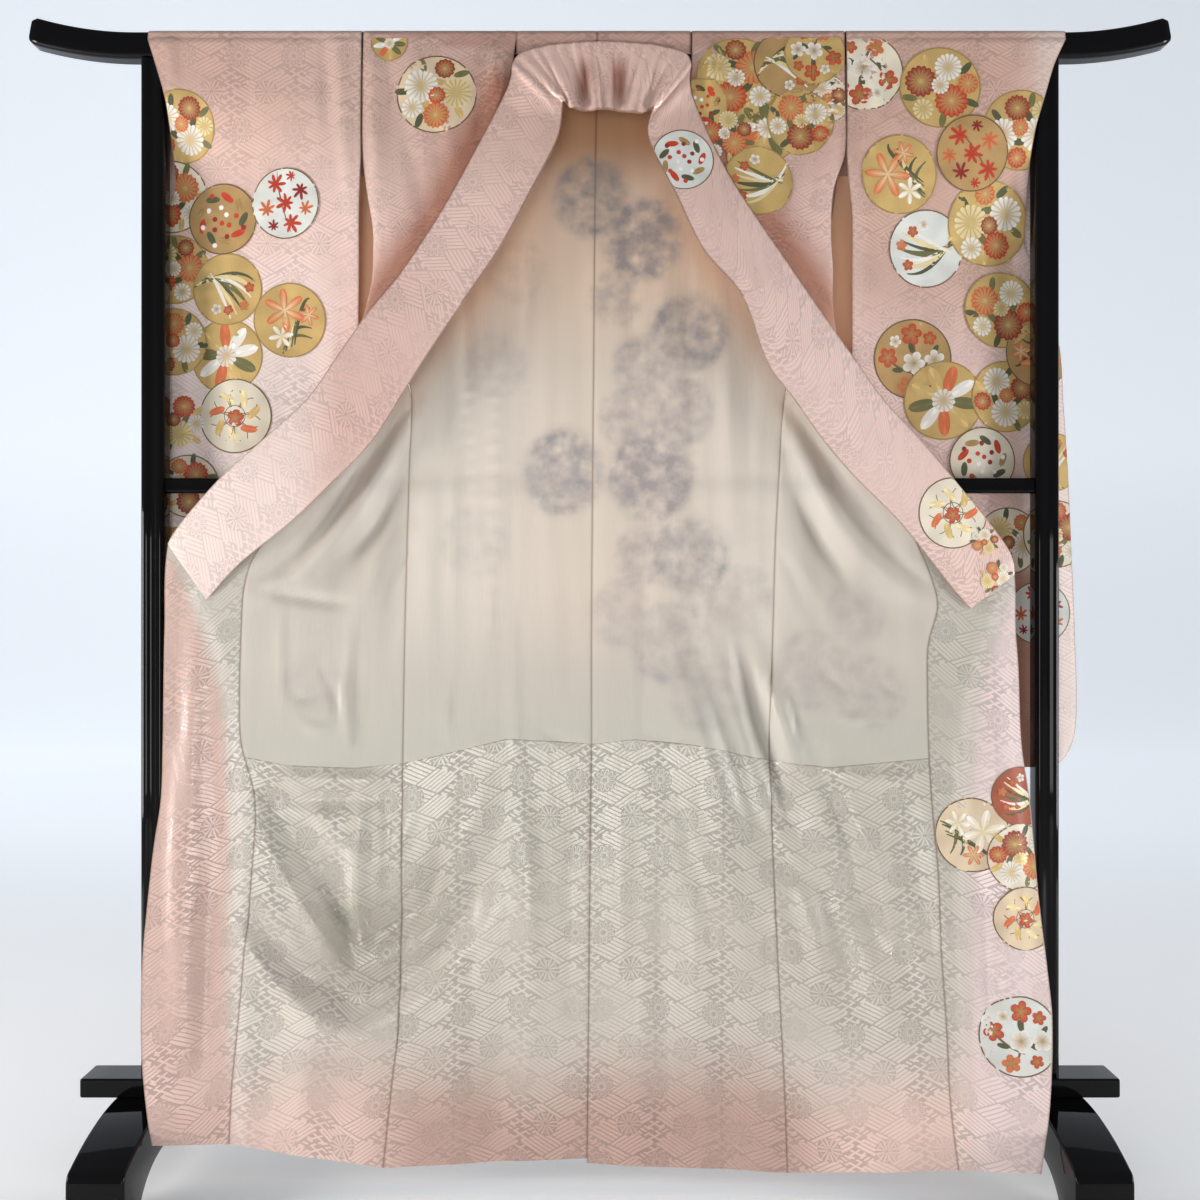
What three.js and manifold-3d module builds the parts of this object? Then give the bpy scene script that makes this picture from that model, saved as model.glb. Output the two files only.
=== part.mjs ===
// A furisode kimono spread on a lacquered kimono stand, fronts drawn open.
// Millimetres, +Z up, +X to the viewer's right, -Y towards the viewer, origin on
// the floor under the middle of the stand. "right" and "left" are the wearer's.
import * as THREE from "three";
import { mergeVertices } from "three/addons/utils/BufferGeometryUtils.js";
import Module from "manifold-3d";

const wasm = await Module();
wasm.setup();

// ---- cloth sizes -----------------------------------------------------------
const CLOTH = 1.2; // one wall of silk with its backing
const SEAM = 0.3; // gap between two pieces
const HALF = SEAM / 2; // each piece stops this far from a seam or an interface
const BAND = 1.5; // the collar is folded double
const OFF_RAIL = 0.45; // the cloth's inner side runs this far off the rail, plus half a gap
const BAND_LIFT = 3.2; // collar in front of the edge that it is sewn to
const PIECE_STEP = 55; // widest facet across a panel
// ---- stand sizes -----------------------------------------------------------
const RAIL = { half: 17, low: 1594, top: 1632, round: 8, reach: 815, rise: 22, rises: 150 };
const POST = { x: 640, half: 17, round: 7, flute: 2.2 };
const MID = { low: 972, top: 994, half: 9, round: 5 };
const BOARD = { low: 112, top: 139, half: 30, reach: 738, round: 2.5 };
const FOOT = { x: 650, half: 38, reach: 205, toe: 62, toeTop: 76, arch: 52, archReach: 148 };

// ---- the seams and edges, each by its height z -----------------------------
// Side edge of a front: free beside the sleeve, sewn to the back below 1103.
const SIDE_EDGE = {
  right: [
    { z: 1632, x: -338, y: -17 }, { z: 1590, x: -338, y: -19.5 }, { z: 1545, x: -338, y: -22 },
    { z: 1454, x: -337, y: -26 }, { z: 1400, x: -331, y: -28 }, { z: 1343, x: -321, y: -31 },
    { z: 1285, x: -319, y: -32 }, { z: 1225, x: -305, y: -30 }, { z: 1150, x: -281, y: -26 },
    { z: 1103, x: -268, y: -24 }, { z: 1000, x: -272, y: -24 }, { z: 898, x: -274, y: -26 },
    { z: 776, x: -276, y: -33 }, { z: 617, x: -277, y: -44 }, { z: 436, x: -278, y: -54 },
    { z: 228, x: -280, y: -66 }, { z: 152, x: -288, y: -70 }, { z: 33, x: -300, y: -76 },
  ],
  left: [
    { z: 1632, x: 349, y: -17 }, { z: 1590, x: 349, y: -19.5 }, { z: 1545, x: 349, y: -22 },
    { z: 1454, x: 348, y: -26 }, { z: 1400, x: 331, y: -28 }, { z: 1343, x: 327, y: -31 },
    { z: 1265, x: 328, y: -32 }, { z: 1205, x: 310, y: -30 }, { z: 1150, x: 282, y: -26 },
    { z: 1103, x: 262, y: -24 }, { z: 1000, x: 255, y: -24 }, { z: 898, x: 249, y: -26 },
    { z: 776, x: 245, y: -33 }, { z: 617, x: 240, y: -44 }, { z: 436, x: 243, y: -54 },
    { z: 228, x: 252, y: -66 }, { z: 134, x: 256, y: -71 }, { z: 26, x: 259, y: -76 },
  ],
};
// Side edge of the back: beside the sleeve behind the rail, then the side seam.
const BACK_EDGE = {
  right: [
    { z: 1632, x: -338, y: 17.2 }, { z: 1550, x: -338, y: 18.5 }, { z: 1415, x: -335, y: 12 },
    { z: 1300, x: -318, y: 0 }, { z: 1225, x: -299, y: -10 }, { z: 1150, x: -278, y: -22 },
  ],
  left: [
    { z: 1632, x: 349, y: 17.2 }, { z: 1550, x: 349, y: 18.5 }, { z: 1415, x: 342, y: 12 },
    { z: 1300, x: 320, y: 0 }, { z: 1225, x: 302, y: -10 }, { z: 1150, x: 276, y: -22 },
  ],
};
// Centre back seam.
const CENTRE_BACK = [
  { z: 1632, x: -4, y: 17.2 }, { z: 1550, x: -5, y: 18.5 }, { z: 1415, x: -7, y: 12 },
  { z: 1300, x: -8, y: 0 }, { z: 1150, x: -9, y: -20 }, { z: 1050, x: -10, y: -24 },
  { z: 776, x: -12, y: -31 }, { z: 617, x: -12, y: -38 }, { z: 436, x: -14, y: -48 },
  { z: 228, x: -16, y: -58 }, { z: 44, x: -18, y: -64 },
];
// Seam between front and okumi, from the okumi's point down to the hem.
const OKUMI_SEAM = {
  right: [
    { z: 1212, x: -329, y: -56 }, { z: 1116, x: -368, y: -53 }, { z: 994, x: -422, y: -50 }, { z: 901, x: -473, y: -44 },
    { z: 868, x: -492, y: -44 }, { z: 831, x: -501, y: -44 }, { z: 776, x: -504, y: -46 },
    { z: 670, x: -505, y: -52 }, { z: 617, x: -501, y: -56 }, { z: 539, x: -481, y: -62 },
    { z: 436, x: -483, y: -72 }, { z: 331, x: -490, y: -82 }, { z: 228, x: -497, y: -92 },
    { z: 152, x: -503, y: -98 }, { z: 77, x: -505, y: -104 },
  ],
  left: [
    { z: 1212, x: 315, y: -56 }, { z: 1119, x: 350, y: -53 }, { z: 995, x: 397, y: -50 }, { z: 937, x: 426, y: -47 },
    { z: 884, x: 452, y: -44 }, { z: 841, x: 469, y: -44 }, { z: 806, x: 474, y: -44 },
    { z: 755, x: 461, y: -46 }, { z: 691, x: 459, y: -50 }, { z: 617, x: 459, y: -56 },
    { z: 539, x: 462, y: -62 }, { z: 436, x: 469, y: -72 }, { z: 331, x: 471, y: -82 },
    { z: 228, x: 475, y: -92 }, { z: 126, x: 479, y: -98 }, { z: 36, x: 489, y: -104 },
  ],
};
// Front edge: the collar's seam from the neck to the collar's end, then free.
const FRONT_EDGE = {
  right: [
    { z: 1632, x: -119, y: -17 }, { z: 1587, x: -124, y: -23 }, { z: 1541, x: -132, y: -30 },
    { z: 1449, x: -177, y: -38 }, { z: 1361, x: -224, y: -46 }, { z: 1278, x: -277, y: -52 },
    { z: 1218, x: -325, y: -56 }, { z: 1098, x: -410, y: -56 }, { z: 992, x: -530, y: -48 },
    { z: 933, x: -586, y: -38 }, { z: 898, x: -611, y: -33 }, { z: 776, x: -614, y: -40 },
    { z: 617, x: -612, y: -54 }, { z: 539, x: -612, y: -62 }, { z: 477, x: -619, y: -70 },
    { z: 404, x: -624, y: -80 }, { z: 322, x: -628, y: -90 }, { z: 207, x: -624, y: -106 },
    { z: 118, x: -611, y: -120 }, { z: 82, x: -604, y: -122 },
  ],
  left: [
    { z: 1632, x: 131, y: -17 }, { z: 1587, x: 131, y: -23 }, { z: 1534, x: 130, y: -30 },
    { z: 1435, x: 172, y: -38 }, { z: 1361, x: 215, y: -46 }, { z: 1283, x: 267, y: -52 },
    { z: 1203, x: 321, y: -56 }, { z: 1098, x: 396, y: -56 }, { z: 1045, x: 445, y: -54 },
    { z: 976, x: 506, y: -48 }, { z: 893, x: 574, y: -38 }, { z: 855, x: 586, y: -34 },
    { z: 776, x: 586, y: -40 }, { z: 723, x: 588, y: -46 }, { z: 617, x: 589, y: -56 },
    { z: 540, x: 598, y: -64 }, { z: 410, x: 605, y: -80 }, { z: 308, x: 613, y: -94 },
    { z: 243, x: 616, y: -104 }, { z: 134, x: 608, y: -118 }, { z: 38, x: 594, y: -122 },
  ],
};
// Rows of the weave: the heights that one weft line has at the side edge, at the
// okumi seam and at the front edge, drawn aslant where the front is pulled open.
const ROWS = [
  { side: 1590, okumi: 0, edge: 1575 }, { side: 1545, okumi: 0, edge: 1534 },
  { side: 1500, okumi: 0, edge: 1490 }, { side: 1450, okumi: 0, edge: 1440 },
  { side: 1400, okumi: 0, edge: 1361 }, { side: 1343, okumi: 0, edge: 1280 },
  { side: 1283, okumi: 1212, edge: 1212 }, { side: 1222, okumi: 1118, edge: 1098 },
  { side: 1150, okumi: 1025, edge: 984 }, { side: 1103, okumi: 950, edge: 925 },
  { side: 1050, okumi: 910, edge: 890 }, { side: 1000, okumi: 880, edge: 862 },
  { side: 950, okumi: 850, edge: 832 }, { side: 898, okumi: 815, edge: 798 },
  { side: 845, okumi: 780, edge: 764 }, { side: 795, okumi: 745, edge: 732 },
  { side: 745, okumi: 708, edge: 700 }, { side: 697, okumi: 672, edge: 668 },
  { side: 650, okumi: 636, edge: 636 }, { side: 596, okumi: 594, edge: 596 },
  { side: 550, okumi: 550, edge: 552 }, { side: 500, okumi: 500, edge: 502 },
  { side: 450, okumi: 450, edge: 452 }, { side: 400, okumi: 402, edge: 404 },
  { side: 350, okumi: 354, edge: 356 }, { side: 300, okumi: 308, edge: 310 },
  { side: 250, okumi: 262, edge: 264 }, { side: 200, okumi: 217, edge: 219 },
  { side: 150, okumi: 172, edge: 174 }, { side: 100, okumi: 130, edge: 132 },
  { side: 33, okumi: 77, edge: 82 },
];
// The left front hangs lower at its okumi and front edge than the right one.
const LEFT_DROP = { from: 450, okumi: 41, edge: 44, side: 7 };
// Rows on which a piece starts or ends, by the height at the side edge.
const POINT_ROW = 6, LINING_ROW = 7, OKUMI_ROW = 8, SEAM_ROW = 9, JOINT_ROW = 19;
const HEM_ROW = ROWS.length - 1;
// Heights of the back's own rows above the side seam, and where its lining starts.
const BACK_ROWS = [1615, 1585, 1550, 1510, 1465, 1415, 1360, 1300, 1225, 1150];
const BACK_LINING_ROW = 2;
// Hem of the back: how far the centre hangs above the side seam's foot.
const HEM_CENTRE = 9;

// ---- folds: soft troughs (depth > 0, away from the viewer) and ridges -------
const FOLDS = [
  { x0: -262, z0: 1000, x1: -330, z1: 905, depth: 9, width: 22 },
  { x0: -270, z0: 940, x1: -420, z1: 846, depth: 7, width: 20 },
  { x0: 258, z0: 980, x1: 330, z1: 880, depth: 9, width: 22 },
  { x0: 262, z0: 930, x1: 392, z1: 800, depth: 7, width: 22 },
  { x0: -440, z0: 560, x1: -330, z1: 330, depth: 11, width: 34 },
  { x0: -330, z0: 330, x1: -215, z1: 420, depth: 9, width: 36 },
  { x0: -215, z0: 420, x1: -160, z1: 590, depth: -6, width: 34 },
  { x0: 190, z0: 860, x1: 268, z1: 520, depth: 9, width: 26 },
  { x0: 120, z0: 700, x1: 205, z1: 300, depth: -6, width: 30 },
  { x0: 300, z0: 560, x1: 400, z1: 300, depth: 8, width: 34 },
  { x0: -560, z0: 820, x1: -572, z1: 200, depth: -9, width: 20 },
  { x0: 545, z0: 800, x1: 560, z1: 220, depth: -9, width: 20 },
  { x0: -130, z0: 300, x1: -150, z1: 20, depth: 8, width: 34 },
  { x0: 60, z0: 260, x1: 40, z1: 20, depth: -7, width: 34 },
  { x0: 170, z0: 280, x1: 180, z1: 20, depth: 7, width: 30 },
  { x0: -400, z0: 280, x1: -410, z1: 40, depth: -8, width: 30 },
  { x0: 390, z0: 300, x1: 400, z1: 20, depth: -8, width: 32 },
];

// ---- collar: seam edge and free edge from the right end round the neck ------
const COLLAR = [
  { sx: -611, sy: -33, sz: 898, fx: -553, fy: -42, fz: 818 },
  { sx: -586, sy: -38, sz: 933, fx: -505, fy: -48, fz: 869 },
  { sx: -530, sy: -48, sz: 992, fx: -432, fy: -58, fz: 926 },
  { sx: -470, sy: -53, sz: 1044, fx: -372, fy: -63, fz: 982 },
  { sx: -410, sy: -56, sz: 1098, fx: -316, fy: -66, fz: 1039 },
  { sx: -367, sy: -56.5, sz: 1158, fx: -275, fy: -68, fz: 1102 },
  { sx: -325, sy: -56, sz: 1218, fx: -235, fy: -68, fz: 1165 },
  { sx: -277, sy: -52, sz: 1278, fx: -191, fy: -66, fz: 1231 },
  { sx: -224, sy: -46, sz: 1361, fx: -141, fy: -60, fz: 1306 },
  { sx: -177, sy: -38, sz: 1449, fx: -97, fy: -52, fz: 1390 },
  { sx: -132, sy: -30, sz: 1541, fx: -60, fy: -45, fz: 1465 },
  { sx: -120, sy: -22, sz: 1589, fx: -51, fy: -39, fz: 1513 },
  { sx: -82, sy: -18, sz: 1606, fx: -38, fy: -36, fz: 1511 },
  { sx: -40, sy: -17, sz: 1612, fx: -18, fy: -35, fz: 1508 },
  { sx: 4, sy: -17, sz: 1614, fx: 8, fy: -35, fz: 1510 },
  { sx: 48, sy: -17, sz: 1612, fx: 32, fy: -35, fz: 1507 },
  { sx: 90, sy: -18, sz: 1606, fx: 58, fy: -36, fz: 1504 },
  { sx: 127, sy: -22, sz: 1589, fx: 74, fy: -39, fz: 1507 },
  { sx: 130, sy: -30, sz: 1534, fx: 68, fy: -43, fz: 1467 },
  { sx: 172, sy: -38, sz: 1435, fx: 106, fy: -52, fz: 1386 },
  { sx: 215, sy: -46, sz: 1361, fx: 144, fy: -60, fz: 1306 },
  { sx: 267, sy: -52, sz: 1283, fx: 198, fy: -66, fz: 1239 },
  { sx: 321, sy: -56, sz: 1203, fx: 231, fy: -68, fz: 1149 },
  { sx: 358, sy: -56.5, sz: 1151, fx: 268, fy: -68, fz: 1098 },
  { sx: 396, sy: -56, sz: 1098, fx: 309, fy: -66, fz: 1041 },
  { sx: 445, sy: -54, sz: 1045, fx: 352, fy: -64, fz: 991 },
  { sx: 506, sy: -48, sz: 976, fx: 420, fy: -58, fz: 924 },
  { sx: 574, sy: -38, sz: 893, fx: 492, fy: -48, fz: 837 },
  { sx: 586, sy: -34, sz: 855, fx: 520, fy: -44, fz: 806 },
];
const NECK = { z: 1617, drop: 9 }; // where the back's neck edge meets the collar in front
const OVER_COLLAR = { from: 7, to: 21 }; // the laid-on collar's rows
const GATHERS = { from: 10.6, to: 18.4, count: 7, seam: 2.2, free: 8.5 };
const COLLAR_STEPS = 3; // facets for each row of the collar's table, at the neck

// ---- sleeves ---------------------------------------------------------------
// For each height: the inner edge and the outer edge of the sleeve's front layer,
// which comes over the rail, turns back past the post and hangs behind it.
const SLEEVE_FRONT = {
  right: [
    { z: 1618, ix: -340, iy: -18.6, ox: -645, oy: -19.6 }, { z: 1583, ix: -340, iy: -20, ox: -634, oy: -20 },
    { z: 1533, ix: -340, iy: -23, ox: -620, oy: -19.8 }, { z: 1490, ix: -340, iy: -25, ox: -617, oy: -6 },
    { z: 1450, ix: -339.5, iy: -26.5, ox: -617, oy: 12 }, { z: 1415, ix: -341, iy: -26, ox: -619, oy: 22 },
    { z: 1375, ix: -343, iy: -22, ox: -640, oy: 25.5 }, { z: 1300, ix: -345, iy: -12, ox: -648, oy: 26.4 },
    { z: 1200, ix: -348, iy: 0, ox: -648, oy: 26.4 }, { z: 1100, ix: -350, iy: 9, ox: -648, oy: 26.4 },
    { z: 1010, ix: -350, iy: 14, ox: -648, oy: 26.4 }, { z: 900, ix: -350, iy: 14, ox: -649, oy: 26.4 },
    { z: 780, ix: -349, iy: 14, ox: -650, oy: 26.4 }, { z: 664, ix: -348, iy: 15, ox: -650, oy: 26.4 },
    { z: 619, ix: -348, iy: 17, ox: -646, oy: 26.4 }, { z: 591, ix: -348, iy: 22, ox: -634, oy: 26.4 },
    { z: 575, ix: -348, iy: 26.4, ox: -618, oy: 26.4 },
  ],
  left: [
    { z: 1618, ix: 351, iy: -18.6, ox: 664, oy: -19.6 }, { z: 1583, ix: 351, iy: -20, ox: 648, oy: -20 },
    { z: 1533, ix: 351, iy: -23, ox: 633, oy: -20.4 }, { z: 1490, ix: 351, iy: -25, ox: 621, oy: -19 },
    { z: 1450, ix: 350.5, iy: -26.5, ox: 617, oy: -8 }, { z: 1415, ix: 353, iy: -26, ox: 616.5, oy: 2 },
    { z: 1375, ix: 358, iy: -22, ox: 617, oy: 13 }, { z: 1335, ix: 360, iy: -16, ox: 619, oy: 21.5 },
    { z: 1290, ix: 361, iy: -10, ox: 640, oy: 25.5 }, { z: 1200, ix: 363, iy: 0, ox: 669, oy: 26.4 },
    { z: 1100, ix: 364, iy: 9, ox: 677, oy: 26.4 }, { z: 1010, ix: 364, iy: 14, ox: 683, oy: 26.4 },
    { z: 900, ix: 364, iy: 14, ox: 688, oy: 26.4 }, { z: 780, ix: 363, iy: 14, ox: 693, oy: 26.4 },
    { z: 664, ix: 362, iy: 15, ox: 696, oy: 26.4 }, { z: 619, ix: 362, iy: 17, ox: 692, oy: 26.4 },
    { z: 591, ix: 362, iy: 22, ox: 680, oy: 26.4 }, { z: 575, ix: 362, iy: 26.4, ox: 664, oy: 26.4 },
  ],
};
// The back layer, straight down behind the rail and the post.
const SLEEVE_BACK = {
  right: [
    { z: 1618, ix: -340, iy: 18.6, ox: -650, oy: 18.6 }, { z: 1533, ix: -340, iy: 19, ox: -650, oy: 21 },
    { z: 1450, ix: -339.5, iy: 15, ox: -650, oy: 24 }, { z: 1415, ix: -341, iy: 13, ox: -649, oy: 26 },
    { z: 1375, ix: -333, iy: 17, ox: -649, oy: 27.2 }, { z: 1300, ix: -322, iy: 22, ox: -648, oy: 27.4 },
    { z: 1200, ix: -324, iy: 29, ox: -648, oy: 27.4 }, { z: 1110, ix: -340, iy: 32, ox: -648, oy: 27.4 }, { z: 1010, ix: -351, iy: 34, ox: -648, oy: 27.4 },
    { z: 780, ix: -350, iy: 36, ox: -650, oy: 27.4 }, { z: 664, ix: -348, iy: 35, ox: -650, oy: 27.4 },
    { z: 619, ix: -348, iy: 33, ox: -646, oy: 27.4 }, { z: 591, ix: -348, iy: 30, ox: -634, oy: 27.4 },
    { z: 575, ix: -348, iy: 27.4, ox: -618, oy: 27.4 },
  ],
  left: [
    { z: 1618, ix: 351, iy: 18.6, ox: 668, oy: 18.6 }, { z: 1533, ix: 351, iy: 19, ox: 667, oy: 21 },
    { z: 1450, ix: 350.5, iy: 15, ox: 667, oy: 24 }, { z: 1415, ix: 353, iy: 13, ox: 667, oy: 25 },
    { z: 1335, ix: 338, iy: 19, ox: 667, oy: 26.8 }, { z: 1290, ix: 334, iy: 23, ox: 667, oy: 27.2 },
    { z: 1200, ix: 336, iy: 29, ox: 669, oy: 27.4 }, { z: 1110, ix: 354, iy: 32, ox: 676, oy: 27.4 }, { z: 1010, ix: 365, iy: 34, ox: 683, oy: 27.4 },
    { z: 780, ix: 364, iy: 36, ox: 693, oy: 27.4 }, { z: 664, ix: 362, iy: 35, ox: 696, oy: 27.4 },
    { z: 619, ix: 362, iy: 33, ox: 692, oy: 27.4 }, { z: 591, ix: 362, iy: 30, ox: 680, oy: 27.4 },
    { z: 575, ix: 362, iy: 27.4, ox: 664, oy: 27.4 },
  ],
};
const SLEEVE = { across: 6, rows: 17, top: 1618, bottom: 575, furi: 1415, stripRow: 3, stripEnd: 2 };
// Soft vertical folds of the sleeves, each at a share of the width.
const SLEEVE_FOLDS = [
  { at: 0.22, depth: 5, width: 0.09 }, { at: 0.52, depth: -5, width: 0.1 }, { at: 0.8, depth: 4, width: 0.08 },
];

// ---- colours ---------------------------------------------------------------
const SATIN = { color: 0xdeb8ac, roughness: 0.42, metalness: 0 };
const LINING = { color: 0xded4c6, roughness: 0.5, metalness: 0 };
const HEM_LINING = { color: 0xcdc6b6, roughness: 0.45, metalness: 0 };
const PEACH = { color: 0xd6a07d, roughness: 0.6, metalness: 0 };
const LACQUER = { color: 0x08080a, roughness: 0.12, metalness: 0 };

// ---- helpers ---------------------------------------------------------------
/** A value from a table whose rows run down in z, eased through its rows. */
function along(rows, z, name) {
  let i = 0;
  while (i < rows.length - 2 && z < rows[i + 1].z) i++;
  const a = rows[Math.max(i - 1, 0)], b = rows[i], c = rows[i + 1];
  const d = rows[Math.min(i + 2, rows.length - 1)];
  const t = (z - b.z) / (c.z - b.z), gap = c.z - b.z;
  const slopeB = a === b ? (c[name] - b[name]) / gap : (c[name] - a[name]) / (c.z - a.z);
  const slopeC = d === c ? (c[name] - b[name]) / gap : (d[name] - b[name]) / (d.z - b.z);
  const h = t * t * (3 - 2 * t);
  return b[name] * (1 - h) + c[name] * h
    + gap * (slopeB * t * (1 - t) * (1 - t) - slopeC * t * t * (1 - t));
}
const lerp = (a, b, t) => a + (b - a) * t;
const steps = (a, b, n) => Array.from({ length: n + 1 }, (_, i) => lerp(a, b, i / n));
const smooth = (t) => { const c = Math.min(1, Math.max(0, t)); return c * c * (3 - 2 * c); };

/** How far the folds push the cloth away from the viewer at a place. */
function fold(x, z) {
  return FOLDS.reduce((sum, f) => {
    const dx = f.x1 - f.x0, dz = f.z1 - f.z0;
    const t = ((x - f.x0) * dx + (z - f.z0) * dz) / (dx * dx + dz * dz);
    const c = Math.min(1, Math.max(0, t));
    const off = Math.hypot(x - f.x0 - c * dx, z - f.z0 - c * dz);
    const ends = 0.35 + 0.65 * Math.sin(Math.PI * Math.min(0.98, Math.max(0.02, c)));
    return sum + f.depth * ends * Math.exp(-((off / f.width) ** 2));
  }, 0);
}

/** A closed solid from points and triangles, turned to face out. */
function closed(points, faces) {
  let volume = 0;
  const at = (i) => points[i];
  for (const [a, b, c] of faces) {
    volume += new THREE.Vector3().crossVectors(at(a), at(b)).dot(at(c));
  }
  const turned = volume < 0 ? faces.map(([a, b, c]) => [a, c, b]) : faces;
  const g = new THREE.BufferGeometry().setFromPoints(points);
  g.setIndex(turned.flat());
  return g;
}

/** A cloth wall: the surface at(u, v) given thickness from near to far along its
 *  own normal (times turn), closed round its four edges. */
function wall(at, us, vs, near, far, turn) {
  const sheets = [near, far].map(() => []);
  const e = 0.02; // the normal is taken over this step, across a seam too
  for (const v of vs) {
    for (const u of us) {
      const p = at(u, v), du = at(u + e, v).sub(at(u - e, v)), dv = at(u, v + e).sub(at(u, v - e));
      const n = du.cross(dv).normalize().multiplyScalar(turn);
      sheets[0].push(p.clone().addScaledVector(n, near));
      sheets[1].push(p.clone().addScaledVector(n, far));
    }
  }
  const w = us.length, h = vs.length, size = w * h, faces = [];
  const quad = (a, b, c, d) => faces.push([a, b, c], [a, c, d]);
  for (let j = 0; j < h - 1; j++) {
    for (let i = 0; i < w - 1; i++) {
      const a = j * w + i;
      quad(a, a + 1, a + w + 1, a + w);
      quad(size + a, size + a + w, size + a + w + 1, size + a + 1);
      // the far sheet splits along the same diagonal as the near one
      const last = faces.length;
      faces[last - 2] = [size + a, size + a + w + 1, size + a + 1];
      faces[last - 1] = [size + a, size + a + w, size + a + w + 1];
    }
  }
  const rim = [];
  for (let i = 0; i < w; i++) rim.push(i);
  for (let j = 1; j < h; j++) rim.push(j * w + w - 1);
  for (let i = w - 2; i >= 0; i--) rim.push((h - 1) * w + i);
  for (let j = h - 2; j > 0; j--) rim.push(j * w);
  rim.forEach((a, k) => {
    const b = rim[(k + 1) % rim.length];
    faces.push([a, size + a, size + b], [a, size + b, b]);
  });
  return closed([...sheets[0], ...sheets[1]], faces);
}

/** Joins overlapping solids into one. */
function join(...geometries) {
  const solids = geometries.map((g) => {
    const bare = g.clone();
    for (const name of ["normal", "uv"]) bare.deleteAttribute(name);
    const m = mergeVertices(bare, 1e-4);
    return new wasm.Manifold(new wasm.Mesh({
      numProp: 3,
      vertProperties: new Float32Array(m.attributes.position.array),
      triVerts: new Uint32Array(m.index.array),
    }));
  });
  const all = solids.reduce((a, b) => a.add(b)).getMesh();
  const g = new THREE.BufferGeometry();
  g.setAttribute("position", new THREE.BufferAttribute(new Float32Array(all.vertProperties), 3));
  g.setIndex([...all.triVerts]);
  return g;
}

const group = new THREE.Group();
function add(name, geometry, look) {
  const g = geometry.index ? geometry.toNonIndexed() : geometry;
  g.computeVertexNormals();
  const mesh = new THREE.Mesh(g, new THREE.MeshStandardMaterial(look));
  mesh.name = name;
  group.add(mesh);
}

// ---- stand -----------------------------------------------------------------
/** A rectangle with rounded corners, and a shallow flute in two of its faces. */
function roundedBar(w, h, r, flute = 0) {
  const s = new THREE.Shape(), right = Math.PI / 2;
  s.moveTo(-w + r, -h);
  if (flute) s.quadraticCurveTo(0, -h + 2 * flute, w - r, -h);
  s.absarc(w - r, -h + r, r, -right, 0);
  s.absarc(w - r, h - r, r, 0, right);
  if (flute) s.quadraticCurveTo(0, h - 2 * flute, -w + r, h);
  s.absarc(-w + r, h - r, r, right, 2 * right);
  s.absarc(-w + r, -h + r, r, 2 * right, 3 * right);
  return s;
}
const CURVE = 4; // facets for each rounded corner
/** Lays an extrusion's length along X, with its section in Y and Z. */
const alongX = new THREE.Matrix4().makeBasis(
  new THREE.Vector3(0, 1, 0), new THREE.Vector3(0, 0, 1), new THREE.Vector3(1, 0, 0));

const railMid = (RAIL.low + RAIL.top) / 2, railHalf = (RAIL.top - RAIL.low) / 2;
/** The rail is straight between the posts and curves up at its ends. */
function topRail() {
  const section = roundedBar(RAIL.half, railHalf, RAIL.round).extractPoints(CURVE).shape.slice(0, -1);
  const stations = [...steps(-RAIL.reach, -RAIL.reach + RAIL.rises, 6),
    ...steps(RAIL.reach - RAIL.rises, RAIL.reach, 6)];
  const points = [], faces = [], n = section.length;
  stations.forEach((x) => {
    const past = Math.max(0, Math.abs(x) - RAIL.reach + RAIL.rises) / RAIL.rises;
    const up = RAIL.rise * past * past, lean = 2 * RAIL.rise * past / RAIL.rises;
    section.forEach((p) => points.push(
      new THREE.Vector3(x - Math.sign(x) * lean * p.y * 0.6, p.x, railMid + up + p.y)));
  });
  for (let k = 0; k < stations.length - 1; k++) {
    for (let i = 0; i < n; i++) {
      const a = k * n + i, b = k * n + (i + 1) % n;
      faces.push([a, b, b + n], [a, b + n, a + n]);
    }
  }
  const end = (stations.length - 1) * n;
  for (let i = 1; i < n - 1; i++) {
    faces.push([0, i + 1, i], [end, end + i, end + i + 1]);
  }
  return closed(points, faces);
}
add("stand_top_rail", topRail(), LACQUER);

function bar(shape, length) {
  return new THREE.ExtrudeGeometry(shape, { depth: length, bevelEnabled: false, curveSegments: CURVE });
}
for (const [name, side] of [["right", -1], ["left", 1]]) {
  const post = bar(roundedBar(POST.half, POST.half, POST.round, POST.flute),
    RAIL.low - BOARD.top - 2 * SEAM);
  post.translate(side * POST.x, 0, BOARD.top + SEAM);
  add("stand_post_" + name, post, LACQUER);

  const f = new THREE.Shape();
  f.moveTo(-FOOT.reach, 0);
  f.lineTo(-FOOT.reach, FOOT.toeTop - 16);
  f.quadraticCurveTo(-FOOT.reach, FOOT.toeTop, -FOOT.reach + 14, FOOT.toeTop + 4);
  f.quadraticCurveTo(-FOOT.reach / 2 - 10, BOARD.low - SEAM, -BOARD.half, BOARD.low - SEAM);
  f.lineTo(BOARD.half, BOARD.low - SEAM);
  f.quadraticCurveTo(FOOT.reach / 2 + 10, BOARD.low - SEAM, FOOT.reach - 14, FOOT.toeTop + 4);
  f.quadraticCurveTo(FOOT.reach, FOOT.toeTop, FOOT.reach, FOOT.toeTop - 16);
  f.lineTo(FOOT.reach, 0);
  f.lineTo(FOOT.archReach, 0);
  f.bezierCurveTo(FOOT.archReach * 0.8, FOOT.arch, FOOT.archReach * 0.4, FOOT.arch, 0, FOOT.arch);
  f.bezierCurveTo(-FOOT.archReach * 0.4, FOOT.arch, -FOOT.archReach * 0.8, FOOT.arch, -FOOT.archReach, 0);
  const foot = new THREE.ExtrudeGeometry(f, { depth: 2 * FOOT.half, bevelEnabled: false, curveSegments: 7 });
  foot.applyMatrix4(alongX).translate(side * FOOT.x - FOOT.half, 0, 0);
  add("stand_foot_" + name, foot, LACQUER);
}
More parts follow.
